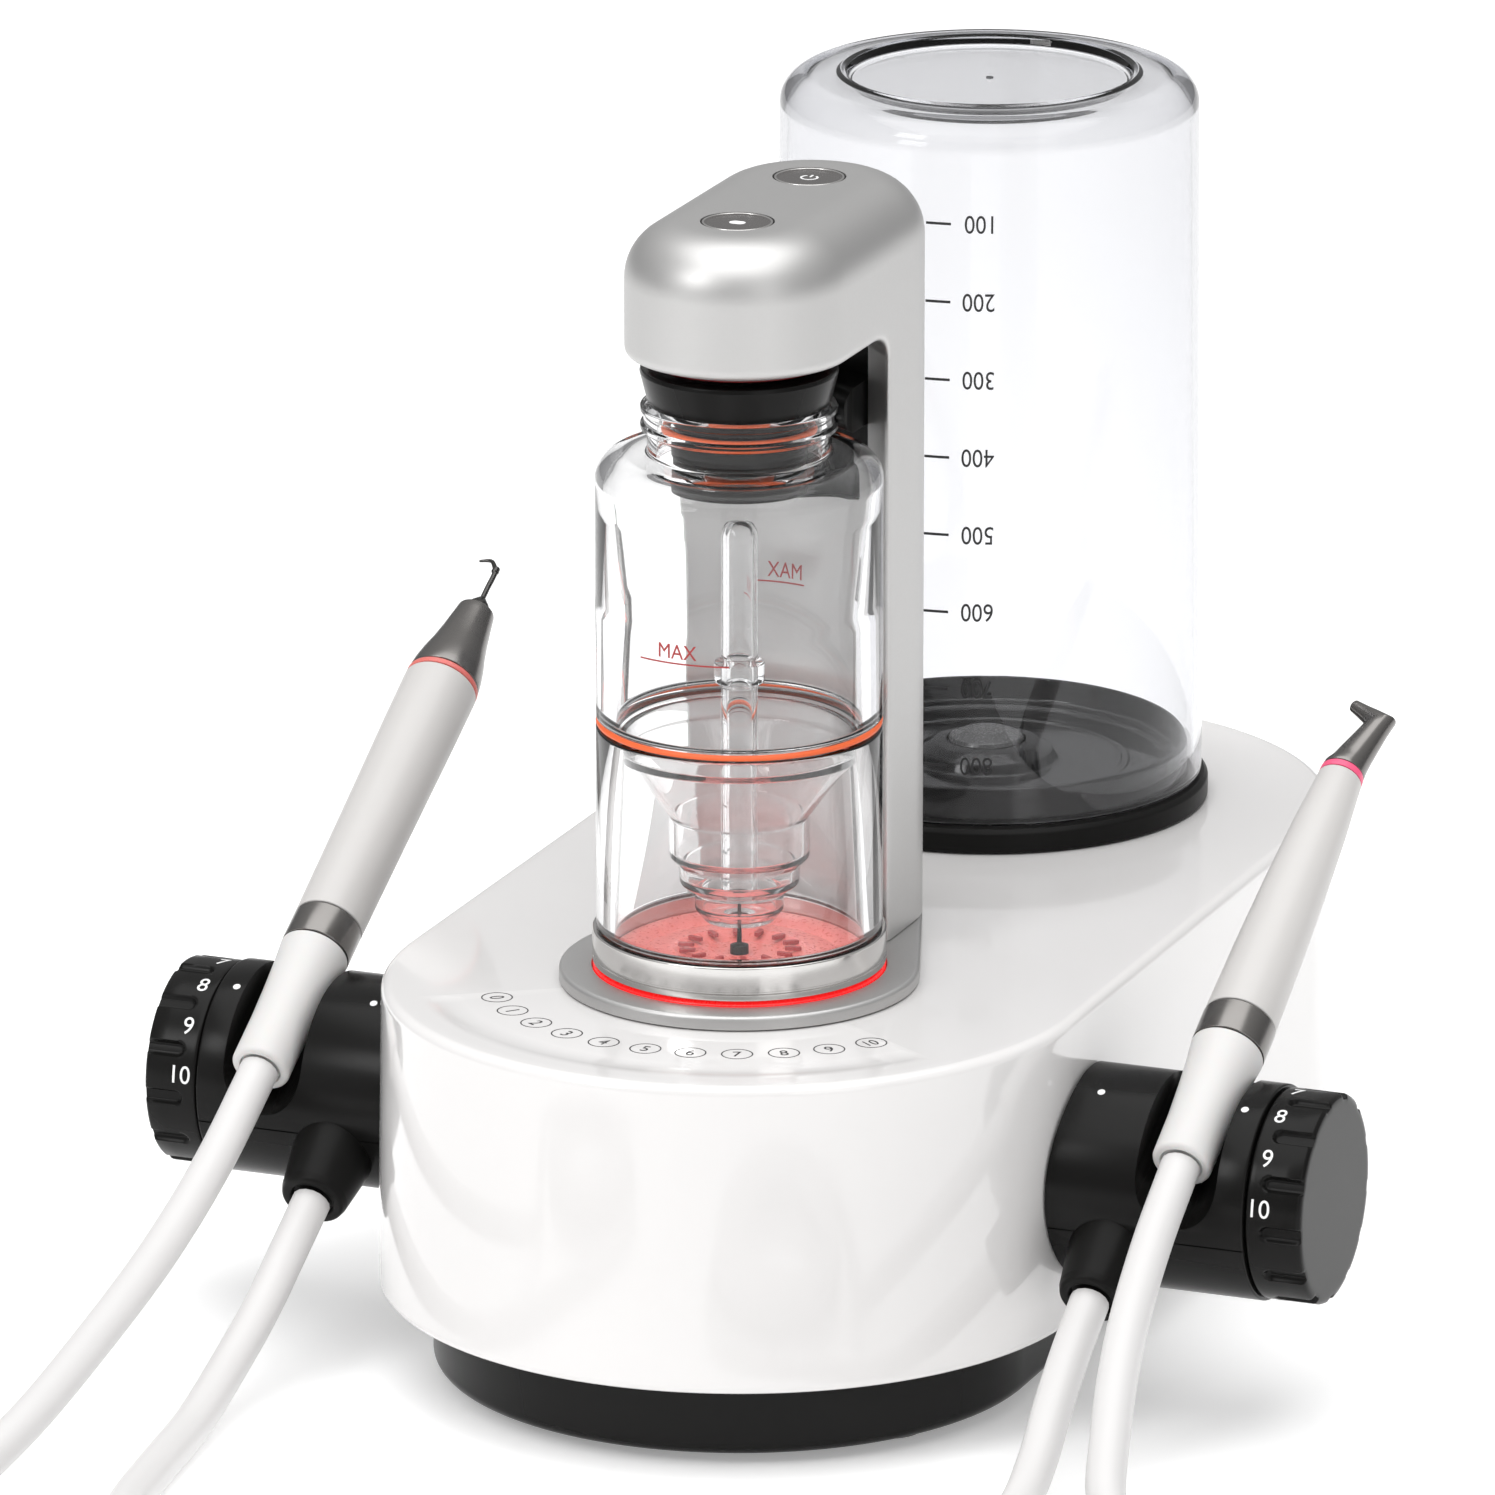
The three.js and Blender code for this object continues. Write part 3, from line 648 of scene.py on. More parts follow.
LOOKS = {
    "shell_white": dict(colour=(0.79, 0.777, 0.77), roughness=0.1, tint=0.012, spread=0.03, grain=260,
        relief=0.002, Coat_Weight=0.6, Coat_Roughness=0.04),
    "black_plastic": dict(colour=(0.007, 0.0068, 0.0065), roughness=0.25, tint=0.15, spread=0.01,
        grain=900, relief=0.0003, Specular_IOR_Level=0.13),
    "black_gloss": dict(colour=(0.005, 0.005, 0.005), roughness=0.07, tint=0.15, spread=0.01, grain=300,
        relief=0.0003, Specular_IOR_Level=0.4),
    "black_rubber": dict(colour=(0.008, 0.0078, 0.0075), roughness=0.36, tint=0.15, spread=0.015,
        grain=900, relief=0.0005, Specular_IOR_Level=0.1),
    "silver_arm": dict(colour=(0.55, 0.546, 0.54), roughness=0.45, metallic=0.9, tint=0.02, spread=0.03,
        grain=2400, relief=0.0015),
    "steel": dict(colour=(0.63, 0.618, 0.605), roughness=0.14, metallic=1, tint=0.02, spread=0.012,
        grain=400, relief=0.0003),
    "dark_steel": dict(colour=(0.07, 0.068, 0.066), roughness=0.2, metallic=1, tint=0.05, spread=0.04,
        grain=900, relief=0.0006),
    "gunmetal": dict(colour=(0.2, 0.192, 0.185), roughness=0.26, metallic=1, tint=0.03, spread=0.012,
        grain=500, relief=0.0003),
    "clear_plastic": dict(colour=(0.99, 0.99, 0.99), roughness=0.01, tint=0.006, spread=0.006, grain=60,
        relief=0.002, Transmission_Weight=1.0, IOR=1.45, inside=((0.76, 0.77, 0.79), 20)),
    "clear_dome": dict(colour=(0.99, 0.99, 0.99), roughness=0.01, tint=0.006, spread=0.006, grain=60,
        relief=0.002, Transmission_Weight=1.0, IOR=1.3, inside=((0.76, 0.77, 0.79), 30)),
    "bottle_clear": dict(colour=(0.99, 0.99, 0.995), roughness=0.012, tint=0.006, spread=0.004,
        grain=45, relief=0.0008, Transmission_Weight=1.0, IOR=1.36, inside=((0.775, 0.78, 0.8), 220)),
    "red_plastic": dict(colour=(0.72, 0.17, 0.15), roughness=0.3, tint=0.06, grain=1200, relief=0.003,
        Subsurface_Weight=0.3, Subsurface_Scale=0.003),
    "orange_seal": dict(colour=(0.82, 0.13, 0.03), roughness=0.42, tint=0.06, grain=1400, relief=0.01),
    "red_light": dict(colour=(0.7, 0.01, 0.012), roughness=0.25, tint=0.05, grain=900, relief=0.003,
        Emission_Color=(1, 0.02, 0.02, 1), Emission_Strength=0.6),
    "red_lens": dict(colour=(0.1, 0.003, 0.004), roughness=0.2, tint=0.05, spread=0.02, grain=900,
        relief=0.0005),
    "white_silicone": dict(colour=(0.68, 0.67, 0.66), roughness=0.45, tint=0.015, spread=0.02,
        grain=1300, relief=0.002, Subsurface_Weight=0.1, Subsurface_Scale=0.002),
    "white_sleeve": dict(colour=(0.58, 0.565, 0.552), roughness=0.36, tint=0.015, spread=0.02,
        grain=1600, relief=0.001),
    "button_grey": dict(colour=(0.075, 0.07, 0.068), roughness=0.3, tint=0.08, grain=1800,
        relief=0.0015),
    "pink_ring": dict(colour=(0.85, 0.1, 0.22), roughness=0.35, tint=0.04, grain=1500, relief=0.006),
    "valve_grey": dict(colour=(0.05, 0.05, 0.05), roughness=0.25, tint=0.08, grain=1800, relief=0.002),
    "circuit_board": dict(colour=(0.02, 0.12, 0.06), roughness=0.4, tint=0.3, cloud=300, grain=900,
        relief=0.03),
    "cord_white": dict(colour=(0.7, 0.69, 0.685), roughness=0.4, tint=0.02, spread=0.02, grain=1100,
        relief=0.002),
    "print_black": dict(colour=(0.02, 0.02, 0.021), roughness=0.5, tint=0.2, grain=4000, relief=0.004),
    "print_white": dict(colour=(0.88, 0.88, 0.88), roughness=0.5, tint=0.03, grain=4000, relief=0.004),
    "print_red": dict(colour=(0.36, 0.03, 0.03), roughness=0.5, tint=0.1, grain=4000, relief=0.001),
    "stage": dict(colour=(0.93, 0.93, 0.93), roughness=0.6, tint=0.01, spread=0.05, cloud=3, grain=300,
        relief=0.01, Emission_Color=(1, 1, 1, 1), Emission_Strength=0.28),
}
CLEAR = "clear_plastic"
CLEAR_FINISHES = (CLEAR, "clear_dome", "bottle_clear")


@lru_cache(maxsize=None)
def finish_material(name):
    """The material of a finish, made when a piece first needs it."""
    look = dict(LOOKS[name])
    inside = look.pop("inside", None)
    material = surface(name, **look)
    if inside:
        absorb(material, *inside)
    return material


# ---- cords ----
CORD_D = 8.3
COIL_CENTRES = {"right": (0.108, -0.246), "left": (-0.095, -0.325)}
COIL_RADII = (57, 36)
COIL_LEVELS = (4.3, 12.8)
COIL_EASE = radians(75)
COIL_CLIMB = radians(120)
COIL_TURNS = 5
CORD_ROUTES = {
    "right_gland": [
        (0.0865, -0.0961, 0.0323), (0.087, -0.1088, 0.025), (0.088, -0.1217, 0.0176),
        (0.0895, -0.1345, 0.0106), (0.0906, -0.15, 0.0056), (0.0886, -0.165, 0.0043),
        (0.081, -0.179, 0.0043), (0.07, -0.1905, 0.0043), (0.059, -0.2015, 0.0043),
        (0.0505, -0.213, 0.0043),
    ],
    "right_handpiece": [
        (0.17, -0.221, 0.0105), (0.1615, -0.2025, 0.007), (0.147, -0.188, 0.0062),
        (0.13, -0.178, 0.009), (0.1165, -0.1655, 0.0135), (0.1095, -0.146, 0.0235),
        (0.1045, -0.124, 0.036), (0.1022, -0.103, 0.0483), (0.1015, -0.0839, 0.0595),
    ],
    "left_gland": [
        (-0.0865, -0.0961, 0.0323), (-0.0865, -0.1088, 0.025), (-0.0863, -0.124, 0.017),
        (-0.086, -0.142, 0.01), (-0.0845, -0.162, 0.0054), (-0.082, -0.185, 0.0043),
        (-0.078, -0.21, 0.0043), (-0.071, -0.235, 0.0043), (-0.059, -0.257, 0.0043),
        (-0.0455, -0.2755, 0.0043), (-0.034, -0.296, 0.0043),
    ],
    "left_handpiece": [
        (-0.1575, -0.3005, 0.0105), (-0.149, -0.282, 0.007), (-0.133, -0.2655, 0.0062),
        (-0.117, -0.25, 0.0076), (-0.1065, -0.23, 0.0116), (-0.103, -0.209, 0.0162),
        (-0.102, -0.173, 0.0242), (-0.1016, -0.139, 0.0336), (-0.1015, -0.112, 0.0442),
        (-0.1015, -0.0882, 0.057),
    ],
}


def ease(share):
    share = min(1, max(0, share))
    return share * share * (3 - 2 * share)


def coil_turns(centre, enter, leave, sense):
    """Points of a two-layer coil between its two free ends, wound in on the table and out on top.
    sense is 1 for anticlockwise turns and -1 for clockwise ones."""
    first = Vector(enter[:2]) - Vector(centre)
    final = Vector(leave[:2]) - Vector(centre)
    start = atan2(first.y, first.x)
    part = (sense * (atan2(final.y, final.x) - start)) % TURN
    total = part + TURN * COIL_TURNS
    outer, inner = COIL_RADII
    middle_turn = total / 2
    run = middle_turn - COIL_CLIMB / 2 - COIL_EASE
    points = []
    count = round(total / radians(12))
    for i in range(1, count):
        along = total * i / count
        near = along if along < middle_turn else total - along
        share = min(1, max(0, (near - COIL_EASE) / run))
        radius = outer + (inner - outer) * share
        free = first.length if along < middle_turn else final.length
        radius = free + (radius - free) * ease(near / COIL_EASE)
        climb = ease((along - middle_turn) / COIL_CLIMB + 0.5)
        height = COIL_LEVELS[0] + (COIL_LEVELS[1] - COIL_LEVELS[0]) * climb
        if along > middle_turn:
            height += (leave[2] - COIL_LEVELS[1]) * (1 - ease(near / COIL_EASE))
        angle = start + sense * along
        points.append((
            centre[0] + radius * cos(angle), centre[1] + radius * sin(angle), height,
        ))
    return points


def add_cord(side, sense):
    gland = [tuple(c / MM for c in p) for p in CORD_ROUTES[f"{side}_gland"]]
    handpiece = [tuple(c / MM for c in p) for p in CORD_ROUTES[f"{side}_handpiece"]]
    centre = tuple(c / MM for c in COIL_CENTRES[side])
    route = gland + coil_turns(centre, gland[-1], handpiece[0], sense) + handpiece
    line = smooth_line(route)
    piece = solid(f"cord_{side}", sweep(line, CORD_D / 2))
    paint(piece, "cord_white", 40)
    nodes = [f"gland_cord_{side}", f"cord_coil_{side}", f"handpiece_cord_{side}"]
    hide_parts(*nodes)
    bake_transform(piece)


# ---- base and body ----
def add_base():
    wall = 3
    pan = solid("pan", spin([
        (0, PAN_LOW), (PAN_R - 6, PAN_LOW), (PAN_R, PAN_LOW, 4.5), (PAN_R, BODY_LOW - 3),
        (PAN_R, BODY_LOW - 0.3, 0.5), (PAN_R - wall, BODY_LOW - 0.3), (PAN_R - wall, PAN_LOW + wall),
        (0, PAN_LOW + wall),
    ], stadium_plan(AXIS_SPAN), steps=8))
    dress(pan, "black_plastic", "base_pan")
    for node in ("foot_front_left", "foot_front_right", "foot_rear_left", "foot_rear_right"):
        spot = middle(node)
        upright(node + "_pad", (spot.x, spot.y, 0), [
            (0, 0), (5.5, 0), (6, 0.5, 0.3), (6.8, 0.5, 0.3), (7.4, 0, 0.3), (9, 0, 1.2),
            (9, PAN_LOW - 0.1, 0.3), (0, PAN_LOW - 0.1),
        ], "black_rubber", node, 48)


def add_body():
    foot, crown, edge = BODY_FOOT_R, BODY_CROWN_R, BODY_EDGE
    wall = 3
    outer = [
        (0, BODY_TOP), (crown - edge - 2, BODY_TOP), (crown - edge, BODY_TOP),
        (crown, BODY_TOP, edge), (crown + 0.1, BODY_TOP - 10), (foot, BODY_LOW + 6),
        (foot, BODY_LOW, 2.2), (PAN_R - 4, BODY_LOW), (PAN_R - 4, BODY_LOW + wall),
        (foot - wall, BODY_LOW + wall), (crown - wall, BODY_TOP - wall, 1.5), (0, BODY_TOP - wall),
    ]
    shell = solid("shell", spin(outer, stadium_plan(AXIS_SPAN, 192), steps=12))
    carve(
        shell,
        finger_groove(),
        drum(96, 11.4, 0, 200, about("Y", pi / 2), (-100, HOLDER_Y, HOLDER_Z)),
        block((64, 34), 4, -20, 20, about("X", pi / 2), (0, 138, REAR_Z)),
    )
    dress(shell, "shell_white", "body_shell", crease=14)
    add_touch_scale()


GROOVE_R = 62.0
GROOVE_WIDTH = 8.6
GROOVE_DEPTH = 0.3
GROOVE_HALF = 53


def finger_groove():
    """A sausage round the chamber, drawn in at its ends, that leaves a shallow dish in the top."""
    radius = ((GROOVE_WIDTH / 2) ** 2 + GROOVE_DEPTH ** 2) / (2 * GROOVE_DEPTH)
    height = BODY_TOP - GROOVE_DEPTH + radius
    sides, past, count = 64, 4.6, 120
    half = radians(GROOVE_HALF) + past / GROOVE_R
    rows = []
    for i in range(count + 1):
        a = half * (2 * i / count - 1)
        over = max(0, (abs(a) - radians(GROOVE_HALF)) * GROOVE_R)
        r = sqrt(radius ** 2 - over ** 2)
        out = Vector((sin(a), -cos(a), 0))
        turns = [TURN * k / sides for k in range(sides)]
        rows.append([tuple(out * (GROOVE_R + r * cos(b)) + Vector((0, 0, r * sin(b))))
                     for b in turns])
    return solid("tool", moved(capped(rows), (POWDER.x, POWDER.y, height)))


SCALE_R = 51.7
SCALE_HALF = 53
SCALE_RING = 3.15


def add_touch_scale():
    forms = []
    for number in range(11):
        angle = radians(-SCALE_HALF + 2 * SCALE_HALF * number / 10)
        spot = Vector((SCALE_R * sin(angle), POWDER.y - SCALE_R * cos(angle), BODY_TOP))
        turn = about("Z", angle)
        narrow = 0.78 if number == 10 else 0.9
        forms.append(moved(hoop(SCALE_RING, 0.26, 0.04), turn, spot))
        forms.append(moved(lettering(str(number), 3.1, 0.04, narrow), turn, spot))
    attach(solid("touch_scale_print", *forms), "print_black", "body_shell")


REAR_Z = 47
MAINS_AT = (-12, 0, REAR_Z)
AIR_AT = (16, 0, REAR_Z)


def add_rear():
    """The back: a panel with a mains inlet and an air inlet."""
    lie = about("X", pi / 2)
    panel = solid("rear_plate", moved(slab(rounded_box((63.4, 33.4), 3.7), -139, -136.7, 0.5),
                                      lie, (0, 0, REAR_Z)))
    carve(panel, block((24.6, 16.6), 1.5, -150, -120, lie, MAINS_AT),
          drum(96, 5.3, -150, -120, lie, AIR_AT))
    dress(panel, "black_plastic", "rear_panel")
    rim = slab(rounded_box((28, 20), 2), -141.5, -139.3, 0.6)
    socket = solid("mains_socket", moved(rim, lie, MAINS_AT))
    fuse(socket, block((24, 16), 1.5, -139.5, -126, lie, MAINS_AT))
    outline = soften([(9, -5), (9, 2.5, 1), (6, 5, 1), (-6, 5, 1), (-9, 2.5, 1), (-9, -5)], 4, True)
    carve(socket, solid("tool", moved(slab(outline, -150, -130), lie, MAINS_AT)))
    dress(socket, "black_plastic", "power_inlet")
    blade = slab(rounded_box((1.6, 4), 0.3), -139, -128, 0.4)
    blades = [moved(blade, lie, (x, 0, z), MAINS_AT) for x, z in ((-5, -1), (0, 1.5), (5, -1))]
    attach(solid("mains_socket_blades", *blades), "steel", "power_inlet")
    barb = [
        (1.8, 128), (5, 128), (5, 139.3), (7, 139.3, 0.4), (7, 141.9, 0.5), (4.2, 142.2),
        (4.4, 143.2), (3.7, 144), (4.4, 144.6), (3.6, 146.3, 0.4), (1.8, 146.3),
    ]
    inlet = solid("air_nipple", moved(spin(barb, round_plan(48), closed=True),
                                      about("X", -pi / 2), AIR_AT))
    dress(inlet, "steel", "air_inlet")


# ---- arm ----
def add_arm_plate():
    shrink = PLATE_R - ARM_R
    plate = solid("plate", moved(spin([
        (shrink, PLATE_LOW), (PLATE_R, PLATE_LOW, 0.3), (PLATE_R, PLATE_TOP, 0.9),
        (PLATE_R - 3, PLATE_TOP), (shrink, PLATE_TOP),
    ], teardrop_plan(ARM_SPAN, shrink)), POWDER))
    close_gaps(plate)
    carve(plate, solid("tool", moved(spin([(26.6, 86), (30.6, 86), (30.6, 90), (26.6, 90)],
                                          closed=True), POWDER)))
    dress(plate, "silver_arm", "arm_plate", crease=25)


def arm_outline(run, z, inset=0.0):
    """A point on the arm's outside, at a distance round it from the middle of its front."""
    quarter = ARM_R * pi / 2
    radius = ARM_R - inset
    if run <= quarter:
        a = run / ARM_R
        return Vector((radius * sin(a), POWDER.y - radius * cos(a), z))
    if run <= quarter + ARM_SPAN:
        return Vector((radius, POWDER.y + run - quarter, z))
    a = (run - quarter - ARM_SPAN) / ARM_R
    return Vector((radius * cos(a), POWDER.y + ARM_SPAN + radius * sin(a), z))


def bay_surface(angle, run):
    """A point on the bay's inside, at an angle from the front and a distance up its wall, round
    the corner at the top and in along the underside of the head. The corner begins at run 0."""
    turn = min(max(run / BAY_CORNER, 0), pi / 2)
    flat = max(0, run - BAY_CORNER * pi / 2)
    radius = BAY_R - BAY_CORNER + BAY_CORNER * cos(turn) - flat
    z = HEAD_LOW - BAY_CORNER + BAY_CORNER * sin(turn) + min(run, 0)
    return Vector((radius * sin(angle), POWDER.y - radius * cos(angle), z))


def bay_edge():
    """Where the bay meets the arm's right side, from its foot to the middle of the head's front:
    each place as (run, height) on the outside and (angle, run) on the inside."""
    quarter = ARM_R * pi / 2
    spring = HEAD_LOW - BAY_CORNER
    foot = PLATE_TOP + 0.2
    side = sqrt(BAY_R ** 2 - ARM_R ** 2)
    angle = pi - atan2(ARM_R, side)
    places = []
    for share in (0, 0.2, 0.4, 0.6, 0.75, 0.86, 0.93, 0.97, 0.99):
        z = foot + (spring - foot) * share
        places.append(((quarter + side, z), (angle, z - spring)))
    for k in range(BAY_FAN + 1):
        turn = pi / 2 * k / BAY_FAN
        radius = BAY_R - BAY_CORNER + BAY_CORNER * cos(turn)
        back = sqrt(radius ** 2 - ARM_R ** 2)
        places.append(((quarter + back, spring + BAY_CORNER * sin(turn)),
                       (pi - atan2(ARM_R, back), BAY_CORNER * turn)))
    reach = sqrt((BAY_R - BAY_CORNER) ** 2 - ARM_R ** 2)
    corner_end = BAY_CORNER * pi / 2
    for k in range(1, 7):
        back = reach * (1 - k / 6)
        radius = hypot(ARM_R, back)
        places.append(((quarter + back, HEAD_LOW), (pi - atan2(ARM_R, back),
                                                    corner_end + BAY_R - BAY_CORNER - radius)))
    for k in range(1, 25):
        angle = pi / 2 * (1 - k / 24)
        places.append(((ARM_R * angle, HEAD_LOW),
                       (angle, corner_end + BAY_R - BAY_CORNER - ARM_R)))
    return places


def set_back(line, width):
    """A flat line moved sideways by `width`, to the right of its run."""
    made = []
    for i, spot in enumerate(line):
        before, after = line[max(i - 1, 0)], line[min(i + 1, len(line) - 1)]
        way = Vector((after[0] - before[0], after[1] - before[1])).normalized()
        made.append((spot[0] + way.y * width, spot[1] - way.x * width))
    return made


def along_corner(start, corner, finish, share):
    """A place a share of the way from start to finish by way of the corner."""
    first = (Vector(corner) - Vector(start)).length
    total = first + (Vector(finish) - Vector(corner)).length
    if share * total <= first:
        return tuple(Vector(start).lerp(Vector(corner), share * total / first))
    return tuple(Vector(corner).lerp(Vector(finish), (share * total - first) / (total - first)))


def add_arm():
    """One shell: a stadium column with a round bay cut up into it below the head, and every edge
    of the bay rounded. One half is laid out in strips from the bay's edge and then mirrored."""
    places = bay_edge()
    sharp = [arm_outline(*outer) for outer, _ in places]
    outer_line = set_back([outer for outer, _ in places], BAY_ROUNDING)
    inner_flat = set_back([(angle * BAY_R, run) for _, (angle, run) in places], BAY_ROUNDING)
    inner_line = [(p / BAY_R, run) for p, run in inner_flat]
    back = ARM_R * pi + ARM_SPAN
    crown = HEAD_TOP - HEAD_EDGE
    hub = BAY_CORNER * pi / 2 + BAY_R - BAY_CORNER - 7
    first_fan = 9
    last_fan = first_fan + BAY_FAN
    outer_far, inner_far = [], []
    for i, (outer, inner) in enumerate(zip(outer_line, inner_line)):
        share = (i - first_fan) / BAY_FAN
        if i < first_fan:
            outer_far.append((back, outer[1]))
            inner_far.append((pi, inner[1]))
        elif i <= last_fan:
            outer_far.append(along_corner((back, outer_line[first_fan][1]), (back, crown),
                                          (outer_line[last_fan][0], crown), share))
            inner_far.append(along_corner((pi, inner_line[first_fan][1]), (pi, hub),
                                          (inner_line[last_fan][0], hub), share))
        else:
            outer_far.append((outer[0], crown))
            inner_far.append((inner[0], hub))
    for line, corner in ((outer_far, (back, crown)), (inner_far, (pi, hub))):
        nearest = min(range(len(line)), key=lambda i: (Vector(line[i]) - Vector(corner)).length)
        line[nearest] = corner
    rows = []
    for k in range(STRIPS, 0, -1):
        rows.append([arm_outline(*Vector(a).lerp(Vector(b), k / STRIPS))
                     for a, b in zip(outer_line, outer_far)])
    for k in range(11):
        u = k / 10
        rows.append([arm_outline(*a) * (1 - u) ** 2 + c * 2 * u * (1 - u) + bay_surface(*b) * u ** 2
                     for a, c, b in zip(outer_line, sharp, inner_line)])
    for k in range(1, STRIPS + 1):
        rows.append([bay_surface(*Vector(a).lerp(Vector(b), k / STRIPS))
                     for a, b in zip(inner_line, inner_far)])
    top = [run for run, z in outer_far if z > crown - 0.001]
    crown_rows = []
    for k in range(15):
        turn = pi / 2 * k / 14
        crown_rows.append([arm_outline(run, crown + HEAD_EDGE * sin(turn),
                                       HEAD_EDGE * (1 - cos(turn))) for run in top])
    crown_rows.append([arm_outline(run, HEAD_TOP, HEAD_EDGE + 1) for run in top])
    sheets = [sheet(rows), sheet(crown_rows)]
    mirror = Matrix.Scale(-1, 4, Vector((1, 0, 0)))
    shell = solid("arm", *sheets, *[moved(form, mirror) for form in sheets])
    close_gaps(shell)
    inner = ARM_R - ARM_WALL
    edge = HEAD_EDGE - ARM_WALL
    hollow = solid("tool", moved(spin([
        (0, 60), (inner, 60), (inner, HEAD_TOP - ARM_WALL, edge), (0, HEAD_TOP - ARM_WALL),
    ], stadium_plan(ARM_SPAN, 64)), (0, ARM_Y, 0)))
    carve(hollow, drum(96, BAY_R + 3.5, 50, HEAD_LOW + ARM_WALL, POWDER))
    holes = [drum(64, 7.65, 235, 255, middle(node).to_2d().to_3d())
             for node in ("mode_button", "power_button")]
    window = block((34, 34), 3, 184, 214, (0, ARM_Y + 15, 0))
    port = drum(96, 9, 210, 225, POWDER)
    carve(shell, hollow, window, port, *holes)
    dress(shell, "silver_arm", "arm_shell", crease=40)


def sheet(rows):
    """Quads between open rows of points."""
    width = len(rows[0])
    points = [tuple(p) for row in rows for p in row]
    faces = []
    for i in range(len(rows) - 1):
        for k in range(width - 1):
            m = i * width + k
            faces.append((m, m + 1, m + width + 1, m + width))
    return points, faces


def close_gaps(piece):
    """Fills every open edge loop of the piece with one flat face."""
    work = bmesh.new()
    work.from_mesh(piece.data)
    bmesh.ops.dissolve_degenerate(work, edges=work.edges, dist=1e-6)
    bmesh.ops.holes_fill(work, edges=work.edges, sides=0)
    bmesh.ops.recalc_face_normals(work, faces=work.faces)
    work.to_mesh(piece.data)
    work.free()


def add_recess():
    """The black lining behind the chamber's neck, with a rounded rest for it."""
    wall = BAY_R + ARM_WALL
    lining = solid("recess_lining", moved(spin([
        (wall + 0.3, 181.2), (wall + 2.2, 181.2), (wall + 2.2, 216.6), (wall + 0.3, 216.6),
    ], round_plan(160), closed=True), POWDER))
    combine(lining, "INTERSECT", block((41, 60), 2, 150, 240, POWDER + Vector((0, 45, 0))))
    rest = solid("tool", moved(spin([
        (24.2, 197.2, 4), (wall + 1, 197.2), (wall + 1, 206.8), (24.2, 206.8, 4),
    ], round_plan(160), closed=True), POWDER))
    combine(rest, "INTERSECT", block((33, 60), 6, 150, 240, POWDER + Vector((0, 45, 0))))
    fuse(lining, rest)
    dress(lining, "black_plastic", "arm_recess_panel")


def add_head_light():
    upright("head_light", POWDER, [
        (0, 216.7), (18.9, 216.7, 0.4), (18.9, HEAD_LOW - 0.3), (8.6, HEAD_LOW - 0.3), (8.6, 219.3),
        (0, 219.3),
    ], "red_lens", "head_light_ring", 96, slot="red_light")


def add_buttons():
    for node in ("mode_button", "power_button"):
        spot = middle(node).to_2d().to_3d()
        top = high(node).z
        upright(node + "_key", spot, [
            (0, 238.2), (4, 238.2), (4, top - 2.2), (7.3, top - 2.2), (7.3, top - 0.15, 0.25),
            (6.7, top - 0.15, 0.2), (6.2, top - 0.3, 0.2), (5.6, top - 0.3), (0, top - 0.3),
        ], "button_grey", node, 64)
        upright(node + "_rim", spot, [
            (6.75, top - 1), (7.3, top - 1), (7.3, top, 0.15), (6.75, top, 0.15),
        ], "steel", node, 64, closed=True, own=False)
        face = spot + Vector((0, 0, top - 0.3))
        if node == "mode_button":
            icon = [moved(raised(([(x, y) for x, y in rounded_box((3.4, 2.4), 1.15)],
                                  [tuple(range(24))]), 0.05), face)]
        else:
            icon = power_icon(face)
        attach(solid(node + "_icon", *icon), "print_white", node)


def power_icon(face):
    """A ring that is open at the top, with a bar in the gap."""
    half = 0.22
    count = 30
    gap = radians(35)
    points, faces = [], []
    for i in range(count + 1):
        a = pi / 2 + gap + (TURN - 2 * gap) * i / count
        points += [((1.7 - half) * cos(a), (1.7 - half) * sin(a)),
                   ((1.7 + half) * cos(a), (1.7 + half) * sin(a))]
    faces = [(2 * i, 2 * i + 1, 2 * i + 3, 2 * i + 2) for i in range(count)]
    stem = moved(bar(0.44, 1.7, 0.05, 1), face + Vector((0, 1.3, 0)))
    return [moved(raised((points, faces), 0.05), face), stem]


# ---- powder chamber ----
def add_port_and_light():
    upright("chamber_light", POWDER, [
        (26.9, 86.4), (30.3, 86.4), (30.3, 88.2, 0.6), (26.9, 88.2, 0.4),
    ], "red_light", "chamber_light_ring", 160, closed=True)
    upright("port", POWDER, [
        (2, 74), (9.5, 74), (9.5, 88, 0.5), (5, 88, 0.3), (4, 87.2, 0.3), (2, 87.2),
    ], "steel", "chamber_port", 96, closed=True)


